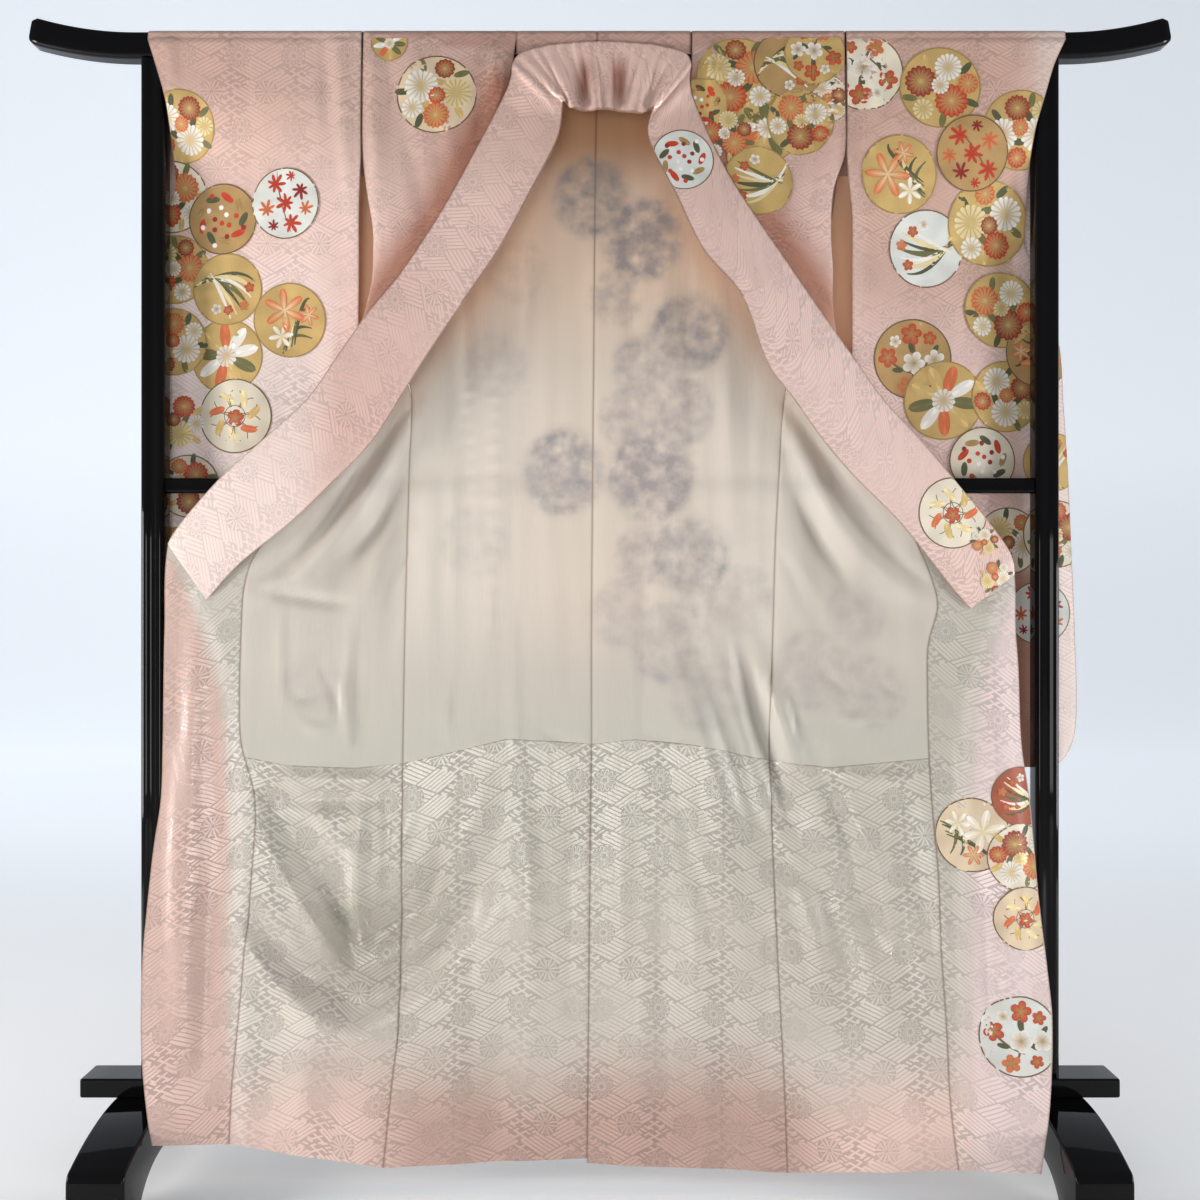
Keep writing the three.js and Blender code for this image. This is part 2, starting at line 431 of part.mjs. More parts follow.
const board = bar(roundedBar(BOARD.half, (BOARD.top - BOARD.low) / 2, BOARD.round), 2 * BOARD.reach);
board.applyMatrix4(alongX).translate(-BOARD.reach, 0, (BOARD.top + BOARD.low) / 2);
add("stand_low_board", board, LACQUER);
const midHalf = (MID.top - MID.low) / 2, inner = POST.x - POST.half - SEAM;
const mid = bar(roundedBar(MID.half, midHalf, MID.round), 2 * inner);
mid.applyMatrix4(alongX).translate(-inner, 0, MID.low + midHalf);
add("stand_mid_rail", mid, LACQUER);

// ---- the body --------------------------------------------------------------
/** Height on an edge of row r (rows may be parted), with the left front's drop. */
function rowHeight(side, r, name) {
  const i = Math.min(HEM_ROW - 1, Math.max(0, Math.floor(r)));
  const z = lerp(ROWS[i][name], ROWS[i + 1][name], r - i);
  if (side !== "left") return z;
  return z - LEFT_DROP[name] * smooth((LEFT_DROP.from - z) / LEFT_DROP.from) ** 1.5;
}
const place = (rows, z) => new THREE.Vector3(along(rows, z, "x"), along(rows, z, "y"), z);

// Over the rail: rows -5 to 0 run from its crown round its near top edge (or its
// far one for the back) and a little way down.
const CROWN_ROWS = 5;
function overRail(r, front) {
  const flat = RAIL.half - RAIL.round, bend = RAIL.round + OFF_RAIL;
  const row = r + CROWN_ROWS, a = Math.PI / 2 * Math.min(1, Math.max(0, (row - 1) / (CROWN_ROWS - 2)));
  const y = flat * Math.min(1, row) + bend * Math.sin(a);
  const z = RAIL.top - RAIL.round + bend * Math.cos(a) - Math.max(0, row - CROWN_ROWS + 1) * RAIL.round;
  return [front ? -y : y, z];
}

/** The fronts: s runs 1 (side edge) to 2 (okumi seam) to 3 (front edge); above
 *  the okumi's point the panel reaches the front edge itself. */
function frontSurface(side) {
  return (s, r) => {
    if (r < 0) {
      const [y, z] = overRail(r, true);
      const a = place(SIDE_EDGE[side], 1632), b = place(FRONT_EDGE[side], 1632);
      const at0 = frontRow(side, s, 0);
      const p = new THREE.Vector3(lerp(a.x, b.x, s - 1), y, z);
      return r > -1 ? p.lerp(at0, r + 1) : p;
    }
    return frontRow(side, s, r);
  };
}
function frontRow(side, s, r) {
  const a = place(SIDE_EDGE[side], rowHeight(side, r, "side"));
  const c = place(FRONT_EDGE[side], rowHeight(side, r, "edge"));
  let p;
  if (r <= POINT_ROW) p = a.lerp(c, s - 1);
  else {
    const b = place(OKUMI_SEAM[side], rowHeight(side, r, "okumi"));
    p = s <= 2 ? a.lerp(b, s - 1) : b.lerp(c, s - 2);
  }
  p.y += fold(p.x, p.z);
  return p;
}
/** The backs: s runs 0 (centre back) to 1 (side edge); rows below SEAM_ROW are
 *  the fronts' rows, so that the side seam's edges run together. */
function backSurface(side) {
  const edge = [...BACK_EDGE[side], ...SIDE_EDGE[side].filter((k) => k.z <= 1103)];
  return (s, r) => {
    const above = BACK_ROWS.length;
    if (r < 0) {
      const [y, z] = overRail(r, false);
      const p = new THREE.Vector3(lerp(-4, place(edge, 1632).x, s), y, z);
      return r > -1 ? p.lerp(backRow(side, edge, s, 0), r + 1) : p;
    }
    return backRow(side, edge, s, r, above);
  };
}
function backRow(side, edge, s, r) {
  const above = BACK_ROWS.length;
  let z;
  if (r <= above - 1) {
    const i = Math.min(above - 2, Math.floor(r));
    z = lerp(BACK_ROWS[i], BACK_ROWS[i + 1], r - i);
  } else if (r < above) z = lerp(BACK_ROWS[above - 1], rowHeight(side, SEAM_ROW, "side"), r - above + 1);
  else z = rowHeight(side, r - above + SEAM_ROW, "side");
  const b = place(edge, z);
  const hem = smooth((300 - z) / 300) * HEM_CENTRE;
  const a = place(CENTRE_BACK, z + hem);
  const p = a.lerp(b, s);
  p.y += fold(p.x, p.z) * smooth((1180 - z) / 80);
  return p;
}
const BACK_HEM = BACK_ROWS.length + HEM_ROW - SEAM_ROW;
const BACK_JOINT = BACK_ROWS.length + JOINT_ROW - SEAM_ROW;

const rowsFrom = (a, b) => steps(a, b, Math.round(b - a));
/** Trims the ends of a list so that a piece stops short of its neighbour. */
const trimmed = (list, start, end) => list.map((v, i) =>
  (i === 0 ? v + start : i === list.length - 1 ? v - end : v));
const ACROSS = { back: 5, front: 4, okumi: 3 };
const INSET = { back: 0.0018, front: 0.002, okumi: 0.006, row: 0.006 };

for (const side of ["right", "left"]) {
  const turn = side === "right" ? 1 : -1;
  const front = frontSurface(side), back = backSurface(side);
  const outer = [-HALF, -HALF - CLOTH], liner = [HALF, HALF + CLOTH];
  const backUs = trimmed(steps(0, 1, ACROSS.back), INSET.back, INSET.back);
  const frontUs = trimmed(steps(1, 2, ACROSS.front), INSET.front, INSET.front);
  const okumiUs = trimmed(steps(2, 3, ACROSS.okumi), INSET.okumi, INSET.okumi);

  // The back hangs from the rail's crown; its neck part comes over to the front.
  const neckSide = side === "right" ? -112 : 122;
  const neck = (u, v) => {
    const [y, z] = overRail(Math.min(v, -1), true), x = lerp(-4, neckSide, u);
    return new THREE.Vector3(x, y, v < -1 ? z : lerp(z, NECK.z - NECK.drop * u * u, v + 1));
  };
  const neckStrip = wall(neck, trimmed(steps(0, 1, 2), INSET.back * 2, 0),
    trimmed(rowsFrom(-CROWN_ROWS, 0), -0.02, 0), ...outer, -turn);
  const backWall = wall(back, backUs, rowsFrom(-CROWN_ROWS, BACK_HEM), ...outer, turn);
  add("back_" + side, join(backWall, neckStrip), SATIN);
  add("back_lining_" + side, wall(back, backUs,
    trimmed(rowsFrom(BACK_LINING_ROW, BACK_JOINT), 0, INSET.row), ...liner, turn), LINING);
  add("back_hakkake_" + side, wall(back, backUs,
    trimmed(rowsFrom(BACK_JOINT, BACK_HEM), INSET.row, 0), ...liner, turn), HEM_LINING);

  add("front_" + side, wall(front, frontUs,
    trimmed(rowsFrom(-CROWN_ROWS, HEM_ROW), 0.05, 0), ...outer, turn), SATIN);
  add("front_lining_" + side, wall(front, frontUs,
    trimmed(rowsFrom(LINING_ROW, JOINT_ROW), 0, INSET.row), ...liner, turn), LINING);
  add("front_hakkake_" + side, wall(front, frontUs,
    trimmed(rowsFrom(JOINT_ROW, HEM_ROW), INSET.row, 0), ...liner, turn), HEM_LINING);

  add("okumi_" + side, wall(front, okumiUs, rowsFrom(OKUMI_ROW, HEM_ROW), ...outer, turn), SATIN);
  add("okumi_hakkake_" + side, wall(front, okumiUs,
    rowsFrom(OKUMI_ROW, HEM_ROW), ...liner, turn), HEM_LINING);
}

// ---- collar ----------------------------------------------------------------
/** Catmull-Rom through the collar's table: u from seam edge to free edge. */
function collarAt(u, r) {
  const i = Math.min(COLLAR.length - 2, Math.max(0, Math.floor(r))), t = r - i;
  const row = (k) => COLLAR[Math.min(COLLAR.length - 1, Math.max(0, k))];
  const mix = (name) => {
    const [a, b, c, d] = [row(i - 1)[name], row(i)[name], row(i + 1)[name], row(i + 2)[name]];
    return 0.5 * (2 * b + (c - a) * t + (2 * a - 5 * b + 4 * c - d) * t * t
      + (3 * b - a - 3 * c + d) * t * t * t);
  };
  const p = new THREE.Vector3(
    lerp(mix("sx"), mix("fx"), u), lerp(mix("sy"), mix("fy"), u) - BAND_LIFT, lerp(mix("sz"), mix("fz"), u));
  const share = (r - GATHERS.from) / (GATHERS.to - GATHERS.from);
  if (share > 0 && share < 1) {
    const depth = lerp(GATHERS.seam, GATHERS.free, u) * Math.sin(Math.PI * share);
    p.y -= depth * (1 - Math.cos(2 * Math.PI * GATHERS.count * share)) / 2;
  }
  return p;
}
/** Rows of the collar: one a section along the fronts, more where it is gathered. */
function collarRows(from, to) {
  const rows = [];
  for (let r = from; r < to; r++) {
    const dense = r + 1 > GATHERS.from && r < GATHERS.to ? COLLAR_STEPS + 1 : 1;
    for (let k = 0; k < dense; k++) rows.push(r + k / dense);
  }
  return [...rows, to];
}
const collarUs = [0, 0.5, 1];
add("collar", wall(collarAt, collarUs, collarRows(0, COLLAR.length - 1), -BAND / 2, BAND / 2, 1), SATIN);
const laid = BAND / 2 + SEAM;
const collarTurn = 1; // the collar's own normal points to the viewer
add("over_collar", wall(collarAt, trimmed(collarUs, 0.004, 0.004),
  collarRows(OVER_COLLAR.from, OVER_COLLAR.to), laid, laid + CLOTH, collarTurn), SATIN);

// ---- sleeves ---------------------------------------------------------------
/** One layer of a sleeve: t from inner to outer edge, rows -4 to 0 over the rail. */
function sleeveSurface(rows, side, front) {
  const edge = (t, z) => {
    const p = new THREE.Vector3(
      lerp(along(rows, z, "ix"), along(rows, z, "ox"), t), lerp(along(rows, z, "iy"), along(rows, z, "oy"), t), z);
    const hang = smooth((1330 - z) / 200) * smooth((z - 575) / 120) * (front ? 1 : 0.8);
    p.y += SLEEVE_FOLDS.reduce((sum, f) => sum + f.depth * Math.exp(-(((t - f.at) / f.width) ** 2)), 0)
      * hang * smooth((1 - t) / 0.12);
    return p;
  };
  return (t, r) => {
    if (r >= 0) return edge(t, lerp(SLEEVE.top, SLEEVE.bottom, r / SLEEVE.rows));
    const [y, z] = overRail(r, front), low = edge(t, SLEEVE.top);
    const p = new THREE.Vector3(low.x, y, z);
    return r > -1 ? p.lerp(low, r + 1) : p;
  };
}
for (const side of ["right", "left"]) {
  const turn = side === "right" ? 1 : -1;
  const ts = steps(0, 1, SLEEVE.across), rows = rowsFrom(-CROWN_ROWS, SLEEVE.rows);
  const layer = (table, isFront) => wall(sleeveSurface(table[side], side, isFront), ts,
    trimmed(rows, isFront ? 0 : -0.01, 0), HALF, HALF + CLOTH, isFront ? turn : -turn);
  add("sleeve_" + side, join(layer(SLEEVE_FRONT, true), layer(SLEEVE_BACK, false)), SATIN);
  const backLayer = sleeveSurface(SLEEVE_BACK[side], side, false);
  add("sleeve_lining_" + side, wall(backLayer, ts.slice(0, 2),
    rowsFrom(SLEEVE.stripRow, SLEEVE.rows - SLEEVE.stripEnd), -HALF, -HALF - CLOTH, -turn), PEACH);
}

export default group;
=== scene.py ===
"""A furisode, a long-sleeved kimono, spread on a lacquered kimono stand with its
fronts drawn open. Sizes are in millimetres and go into the meshes in metres; +Z is
up, -Y faces the viewer, and right and left are the wearer's."""
import bpy
import math
import numpy as np
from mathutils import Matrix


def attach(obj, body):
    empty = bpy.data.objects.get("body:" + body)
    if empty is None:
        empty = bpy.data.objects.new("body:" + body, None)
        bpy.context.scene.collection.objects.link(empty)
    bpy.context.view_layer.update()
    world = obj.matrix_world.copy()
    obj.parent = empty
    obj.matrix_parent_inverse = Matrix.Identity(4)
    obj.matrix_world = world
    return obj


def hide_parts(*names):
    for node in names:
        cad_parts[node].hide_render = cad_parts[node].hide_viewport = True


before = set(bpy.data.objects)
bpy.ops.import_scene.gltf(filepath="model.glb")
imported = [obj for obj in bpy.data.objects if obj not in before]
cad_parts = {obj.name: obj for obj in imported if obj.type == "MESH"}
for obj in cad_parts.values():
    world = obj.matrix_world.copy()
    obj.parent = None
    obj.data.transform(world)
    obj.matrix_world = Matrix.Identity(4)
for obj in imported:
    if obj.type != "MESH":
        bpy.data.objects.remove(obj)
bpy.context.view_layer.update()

# ---- camera ----------------------------------------------------------------
# It stands level at waist height, square to the kimono, with a normal lens.
lens = bpy.data.cameras.new("camera")
lens.lens, lens.sensor_width, lens.shift_y = 39.57, 36, 0.0108
camera = bpy.data.objects.new("camera", lens)
camera.location, camera.rotation_euler = (0, -1.9, 0.8), (math.pi / 2, 0, 0)
bpy.context.scene.collection.objects.link(camera)
bpy.context.scene.camera = camera


# ---- the stand's lacquer ---------------------------------------------------
# Wood under many polished coats of black urushi: deep gloss, with a few faint
# cloudy patches where it has been handled and dusted.
def fill(node, inputs):
    """Gives each named input its constant, or links it to a Thread's output."""
    for name, value in inputs.items():
        if isinstance(value, Thread):
            value.tree.links.new(value.socket, node.inputs[name])
        else:
            node.inputs[name].default_value = value


class Thread:
    """One output of a material's nodes. Python's operators on it add Math nodes,
    and node() adds any other node from its type, settings and inputs."""

    def __init__(self, tree, socket=None):
        self.tree, self.socket = tree, socket

    def node(self, kind, settings, inputs, out=0):
        new = self.tree.nodes.new("ShaderNode" + kind)
        for name, value in settings.items():
            setattr(new, name, value)
        fill(new, inputs)
        return Thread(self.tree, new.outputs[out])

    def maths(self, operation, *values):
        return self.node("Math", {"operation": operation}, dict(enumerate(values)))

    def __add__(self, other):
        return self.maths("ADD", self, other)

    def __radd__(self, other):
        return self.maths("ADD", other, self)

    def __sub__(self, other):
        return self.maths("SUBTRACT", self, other)

    def __rsub__(self, other):
        return self.maths("SUBTRACT", other, self)

    def __mul__(self, other):
        return self.maths("MULTIPLY", self, other)

    def __rmul__(self, other):
        return self.maths("MULTIPLY", other, self)

    def __truediv__(self, other):
        return self.maths("DIVIDE", self, other)

    def __lt__(self, other):
        return self.maths("LESS_THAN", self, other)

    def __gt__(self, other):
        return self.maths("GREATER_THAN", self, other)

    def blend(self, mask, first, second, how="MIX"):
        """First colour where the mask is 0, second (or their product) where it is 1."""
        return self.node("Mix", {"data_type": "RGBA", "blend_type": how}, {0: mask, 6: first, 7: second}, 2)

    def noise(self, place, scale, detail):
        return self.node("TexNoise", {}, {"Vector": place, "Scale": scale, "Detail": detail})

    def bump(self, strength, distance, height):
        return self.node("Bump", {}, {"Strength": strength, "Distance": distance, "Height": height})

    def tint(self, out=0):
        """The colour that the mesh carries (0), or its fourth number (1)."""
        return self.node("VertexColor", {"layer_name": "tint"}, {}, out)

    def spot(self):
        """The place on the object, in metres."""
        return self.node("TexCoord", {}, {}, 3)

    def part(self, out):
        """The x (0), y (1) or z (2) of a vector."""
        return self.node("SeparateXYZ", {}, {0: self}, out)


def finish_of(name):
    """A new material's node tree as a Thread, and its Principled shader."""
    material = bpy.data.materials.new(name)
    material.use_nodes = True
    return material, Thread(material.node_tree), material.node_tree.nodes["Principled BSDF"]


lacquer, t, shader = finish_of("black_lacquer")
spot = t.spot()
cloud, grain = t.noise(spot, 6.0, 4.0), t.noise(spot, 60.0, 2.0)
fill(shader, {
    "Base Color": t.blend(cloud, (0.0022, 0.0022, 0.0026, 1), (0.005, 0.0047, 0.005, 1)),
    "Roughness": 0.035 + 0.03 * cloud, "Normal": t.bump(0.03, 0.002, grain),
    "Coat Weight": 0.15, "Coat Roughness": 0.03, "Specular IOR Level": 0.1})


# ---- the top rail and the middle rail --------------------------------------
# Two square rods of lacquered wood with rounded corners. The top one's ends curve
# up past the posts; the middle one is tenoned between the posts.
def rounded(wide, high, corner, flute=0.0, turns=10):
    """Outline of a rod: four quarter circles joined by straight sides, whose two
    high ones may dip by a flute that follows a raised cosine."""
    a = np.linspace(0, math.pi / 2, turns)
    arcs = [np.stack([corner * np.cos(a + k * math.pi / 2), corner * np.sin(a + k * math.pi / 2)], 1)
            + np.array([sx * (wide - corner), sy * (high - corner)])
            for k, (sx, sy) in enumerate(((1, 1), (-1, 1), (-1, -1), (1, -1)))]
    t = np.linspace(-1, 1, 15)[1:-1]
    dip = high - flute * (1 + np.cos(math.pi * t)) / 2
    top = np.stack([-t * (wide - corner), dip], 1)
    return np.concatenate([arcs[0], top, arcs[1], arcs[2], -top, arcs[3]])


def placed(name, mesh, material):
    """An object of a mesh with its material, in the scene."""
    mesh.materials.append(material)
    piece = bpy.data.objects.new(name, mesh)
    bpy.context.scene.collection.objects.link(piece)
    return piece


def make(name, points, faces, material):
    """A mesh from points in millimetres and faces, smooth up to an angle of 40 degrees."""
    mesh = bpy.data.meshes.new(name)
    mesh.from_pydata((np.asarray(points) / 1000).tolist(), [], faces)
    mesh.shade_smooth()
    mesh.set_sharp_from_angle(angle=math.radians(40))
    return placed(name, mesh, material)


def carried(rings):
    """Points and faces of an outline carried through rings (stations, outline, 3),
    closed by a flat end at each side."""
    k, n = rings.shape[:2]
    i, j = np.meshgrid(np.arange(n), np.arange(k - 1))
    a, b = j * n + i, j * n + (i + 1) % n
    quads = np.stack([a, b, b + n, a + n], -1).reshape(-1, 4).tolist()
    return rings.reshape(-1, 3), quads + [list(range(n))[::-1], list(range((k - 1) * n, k * n))]


def stands_for(piece, node):
    """The piece rides on the stand and replaces its CAD node."""
    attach(piece, "root")
    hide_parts(node)
    return piece


def rod(name, node, stations, outline, level):
    """A rod along X: its outline at each station, round a level above the floor."""
    x = stations[:, None]
    rings = np.stack([x + 0 * outline[:, 0], outline[:, 0] + 0 * x, level + outline[:, 1] + 0 * x], -1)
    stands_for(make(name, *carried(rings[:, ::-1]), lacquer), node)


# the rail's half length, how far its ends rise and over what length, and the round at
# each end, over which the outline's 17 mm half width loses 3.5 mm
REACH, RISE, RISES, END_ROUND = 815, 22, 150, 6
RAIL_LEVEL, MIDDLE_LEVEL, BOARD_LEVEL, POST_X, FOOT_X = 1613, 983, 125.5, 640, 650
ends = np.linspace(0, RISES, 22)
x = np.concatenate([ends - REACH, np.linspace(RISES - REACH, REACH - RISES, 40)[1:-1], REACH - ends[::-1]])
past = np.clip(np.abs(x) - REACH + RISES, 0, None) / RISES
tip = np.minimum(REACH - np.abs(x), END_ROUND) / END_ROUND
shrink = 1 - 3.5 / 17 * (1 - np.sqrt(1 - (1 - tip) ** 2))
lean = np.sign(x) * 2 * RISE * past / RISES * 0.6
x, shrink, lean, past = x[:, None], shrink[:, None], lean[:, None], past[:, None]
outline = rounded(17, 19, 8)
rings = np.stack([x - lean * outline[:, 1] * shrink, outline[:, 0] * shrink,
                  RAIL_LEVEL + RISE * past ** 2 + outline[:, 1] * shrink], -1)
stands_for(make("top_rail", *carried(rings[:, ::-1]), lacquer), "stand_top_rail")

rod("middle_rail", "stand_mid_rail", np.linspace(-622.7, 622.7, 30), rounded(9, 11, 5), MIDDLE_LEVEL)

# ---- the posts -------------------------------------------------------------
# Two upright rods with a shallow flute down the front and the back, tenoned into
# the low board and let into the top rail.
outline = rounded(17, 17, 7, 2.2)
for side, way in (("right", -1), ("left", 1)):
    z = np.linspace(139.3, 1593.7, 40)[:, None]
    rings = np.stack([way * POST_X + outline[:, 0] + 0 * z, outline[:, 1] + 0 * z,
                      z + 0 * outline[:, 0]], -1)
    stands_for(make("post_" + side, *carried(rings), lacquer), "stand_post_" + side)

# ---- the low board ---------------------------------------------------------
# One flat plank across the two feet with its arrises softly rounded.
outline = rounded(30, 13.5, 2.5)
x = np.array([-738, -737.4, -736, -734, *np.linspace(-700, 700, 24), 734, 736, 737.4, 738])
inset = 1 - np.array([2.2, 0.9, 0.25, 0, *np.zeros(24), 0, 0.25, 0.9, 2.2]) / 13.5
x, inset = x[:, None], inset[:, None]
rings = np.stack([x + 0 * outline[:, 0], outline[:, 0] * (1 - (1 - inset) * 0.45),
                  BOARD_LEVEL + outline[:, 1] * inset], -1)
stands_for(make("low_board", *carried(rings[:, ::-1]), lacquer), "stand_low_board")

# ---- the feet --------------------------------------------------------------
# Two thick runners across the board's ends, sawn from plank: low rounded toes, a
# shoulder that rises to the board, and an arch cut out underneath.
def bent(points, n):
    """A Bezier curve of 2, 3 or 4 control points in n steps, without its last point."""
    t, c = np.linspace(0, 1, n + 1)[:-1, None], np.asarray(points, float)
    if len(c) == 2:
        return c[0] + (c[1] - c[0]) * t
    if len(c) == 3:
        return (1 - t) ** 2 * c[0] + 2 * t * (1 - t) * c[1] + t * t * c[2]
    return ((1 - t) ** 3 * c[0] + 3 * t * (1 - t) ** 2 * c[1]
            + 3 * t * t * (1 - t) * c[2] + t ** 3 * c[3])


half = np.concatenate([
    bent([(0, 52), (59.2, 52), (118.4, 52), (148, 0)], 20), bent([(148, 0), (205, 0)], 8),
    bent([(205, 0), (205, 60)], 8), bent([(205, 60), (205, 76), (191, 80)], 10),
    bent([(191, 80), (112.5, 111.7), (30, 111.7)], 20), bent([(30, 111.7), (0, 111.7)], 4),
    [(0, 111.7)]])
foot = np.concatenate([half, half[-2:0:-1] * np.array([-1, 1])])
ahead = np.roll(foot, -1, 0) - np.roll(foot, 1, 0)
outward = np.stack([ahead[:, 1], -ahead[:, 0]], 1) / np.linalg.norm(ahead, axis=1)[:, None]
# across the plank its outline is drawn in round each edge by a quarter circle
HALF_THICK, EDGE_ROUND = 38, 3.5
a = np.linspace(0, math.pi / 2, 7)
ease, inward = EDGE_ROUND * (1 - np.sin(a)), EDGE_ROUND * (1 - np.cos(a))
depth = np.concatenate([-HALF_THICK + inward, [0], HALF_THICK - inward[::-1]])
pull = np.concatenate([ease, [0], ease[::-1]])
for side, way in (("right", -1), ("left", 1)):
    yz = foot[None] - outward[None] * pull[:, None, None]
    rings = np.stack([way * FOOT_X + depth[:, None] + 0 * yz[..., 0], yz[..., 0],
                      np.maximum(yz[..., 1], 0)], -1)
    stands_for(make("foot_" + side, *carried(rings), lacquer), "stand_foot_" + side)


# ---- the outer back panels -------------------------------------------------
# Two lengths of figured silk, joined down the centre back and at the side seams.
# They hang from the rail's crown; at the neck they come over it to the collar.
# Each edge and seam is a table of its height, its x and its y.
SIDE_EDGE = {
    "right": [
        (1632, -338, -17), (1590, -338, -19.5), (1545, -338, -22), (1454, -337, -26), (1400, -331, -28),
        (1343, -321, -31), (1285, -319, -32), (1225, -305, -30), (1150, -281, -26), (1103, -268, -24),
        (1000, -272, -24), (898, -274, -26), (776, -276, -33), (617, -277, -44), (436, -278, -54),
        (228, -280, -66), (152, -288, -70), (33, -300, -76),
    ],
    "left": [
        (1632, 349, -17), (1590, 349, -19.5), (1545, 349, -22), (1454, 348, -26), (1400, 331, -28),
        (1343, 327, -31), (1265, 328, -32), (1205, 310, -30), (1150, 282, -26), (1103, 262, -24),
        (1000, 255, -24), (898, 249, -26), (776, 245, -33), (617, 240, -44), (436, 243, -54),
        (228, 252, -66), (134, 256, -71), (26, 259, -76),
    ],
}
BACK_EDGE = {
    "right": [
        (1632, -338, 17.2), (1550, -338, 18.5), (1415, -335, 12), (1300, -318, 0),
        (1225, -299, -10), (1150, -278, -22),
    ],
    "left": [
        (1632, 349, 17.2), (1550, 349, 18.5), (1415, 342, 12), (1300, 320, 0), (1225, 302, -10),
        (1150, 276, -22),
    ],
}
CENTRE_BACK = [
    (1632, -4, 17.2), (1550, -5, 18.5), (1415, -7, 12), (1300, -8, 0), (1150, -9, -20), (1050, -10, -24),
    (776, -12, -31), (617, -12, -38), (436, -14, -48), (228, -16, -58), (44, -18, -64),
]
OKUMI_SEAM = {
    "right": [
        (1212, -329, -56), (1116, -368, -53), (994, -422, -50), (901, -473, -44), (868, -492, -44),
        (831, -501, -44), (776, -504, -46), (670, -505, -52), (617, -501, -56), (539, -481, -62),
        (436, -483, -72), (331, -490, -82), (228, -497, -92), (152, -503, -98), (77, -505, -104),
    ],
    "left": [
        (1212, 315, -56), (1119, 350, -53), (995, 397, -50), (937, 426, -47), (884, 452, -44),
        (841, 469, -44), (806, 474, -44), (755, 461, -46), (691, 459, -50), (617, 459, -56),
        (539, 462, -62), (436, 469, -72), (331, 471, -82), (228, 475, -92), (126, 479, -98),
        (36, 489, -104),
    ],
}
FRONT_EDGE = {
    "right": [
        (1632, -119, -17), (1587, -124, -23), (1541, -132, -30), (1449, -177, -38), (1361, -224, -46),
        (1278, -277, -52), (1218, -325, -56), (1098, -410, -56), (992, -530, -48), (933, -586, -38),
        (898, -611, -33), (776, -614, -40), (617, -612, -54), (539, -612, -62), (477, -619, -70),
        (404, -624, -80), (322, -628, -90), (207, -624, -106), (118, -611, -120), (82, -604, -122),
    ],
    "left": [
        (1632, 131, -17), (1587, 131, -23), (1534, 130, -30), (1435, 172, -38), (1361, 215, -46),
        (1283, 267, -52), (1203, 321, -56), (1098, 396, -56), (1045, 445, -54), (976, 506, -48),
        (893, 574, -38), (855, 586, -34), (776, 586, -40), (723, 588, -46), (617, 589, -56),
        (540, 598, -64), (410, 605, -80), (308, 613, -94), (243, 616, -104), (134, 608, -118),
        (38, 594, -122),
    ],
}
# Weft rows of the cloth: their heights at the side edge, okumi seam and front edge.
ROWS = [
    (1590, 0, 1575), (1545, 0, 1534), (1500, 0, 1490), (1450, 0, 1440), (1400, 0, 1361), (1343, 0, 1280),
    (1283, 1212, 1212), (1222, 1118, 1098), (1150, 1025, 984), (1103, 950, 925), (1050, 910, 890),
    (1000, 880, 862), (950, 850, 832), (898, 815, 798), (845, 780, 764), (795, 745, 732), (745, 708, 700),
    (697, 672, 668), (650, 636, 636), (596, 594, 596), (550, 550, 552), (500, 500, 502), (450, 450, 452),
    (400, 402, 404), (350, 354, 356), (300, 308, 310), (250, 262, 264), (200, 217, 219), (150, 172, 174),
    (100, 130, 132), (33, 77, 82),
]
# Heights of the back's own ten rows, above where front and back are sewn together.
BACK_ROWS = [1615, 1585, 1550, 1510, 1465, 1415, 1360, 1300, 1225, 1150]
SIDE_SEAM_TOP, OKUMI_POINT = 1103, 1212
# Numbers of the rows at which the okumi's point lies, the front's lining starts, the
# okumi starts, the side seam starts, the linings join and the hem lies; the back's, of
# which its own rows are the first, at the last two.
POINT, LINED, OKUMI_TOP, SEAM, JOINT, HEM = 6, 7, 8, 9, 19, 30
OWN = len(BACK_ROWS)
BACK_JOINT, BACK_HEM = OWN + JOINT - SEAM, OWN + HEM - SEAM
# How much lower the left front hangs at its hem: side edge, okumi seam, front edge.
LEFT_DROP = (7, 41, 44)
# Broad folds of the hanging cloth: both ends (x, z), depth away from the viewer
# where positive, and width.
FOLDS = [
    (-262, 1000, -330, 905, 9, 22), (-270, 940, -420, 846, 7, 20), (258, 980, 330, 880, 9, 22),
    (262, 930, 392, 800, 7, 22), (-440, 560, -330, 330, 11, 34), (-330, 330, -215, 420, 9, 36),
    (-215, 420, -160, 590, -6, 34), (190, 860, 268, 520, 9, 26), (120, 700, 205, 300, -6, 30),
    (300, 560, 400, 300, 8, 34), (-560, 820, -572, 200, -9, 20), (545, 800, 560, 220, -9, 20),
    (-130, 300, -150, 20, 8, 34), (60, 260, 40, 20, -7, 34), (170, 280, 180, 20, 7, 30),
    (-400, 280, -410, 40, -8, 30), (390, 300, 400, 20, -8, 32),
]
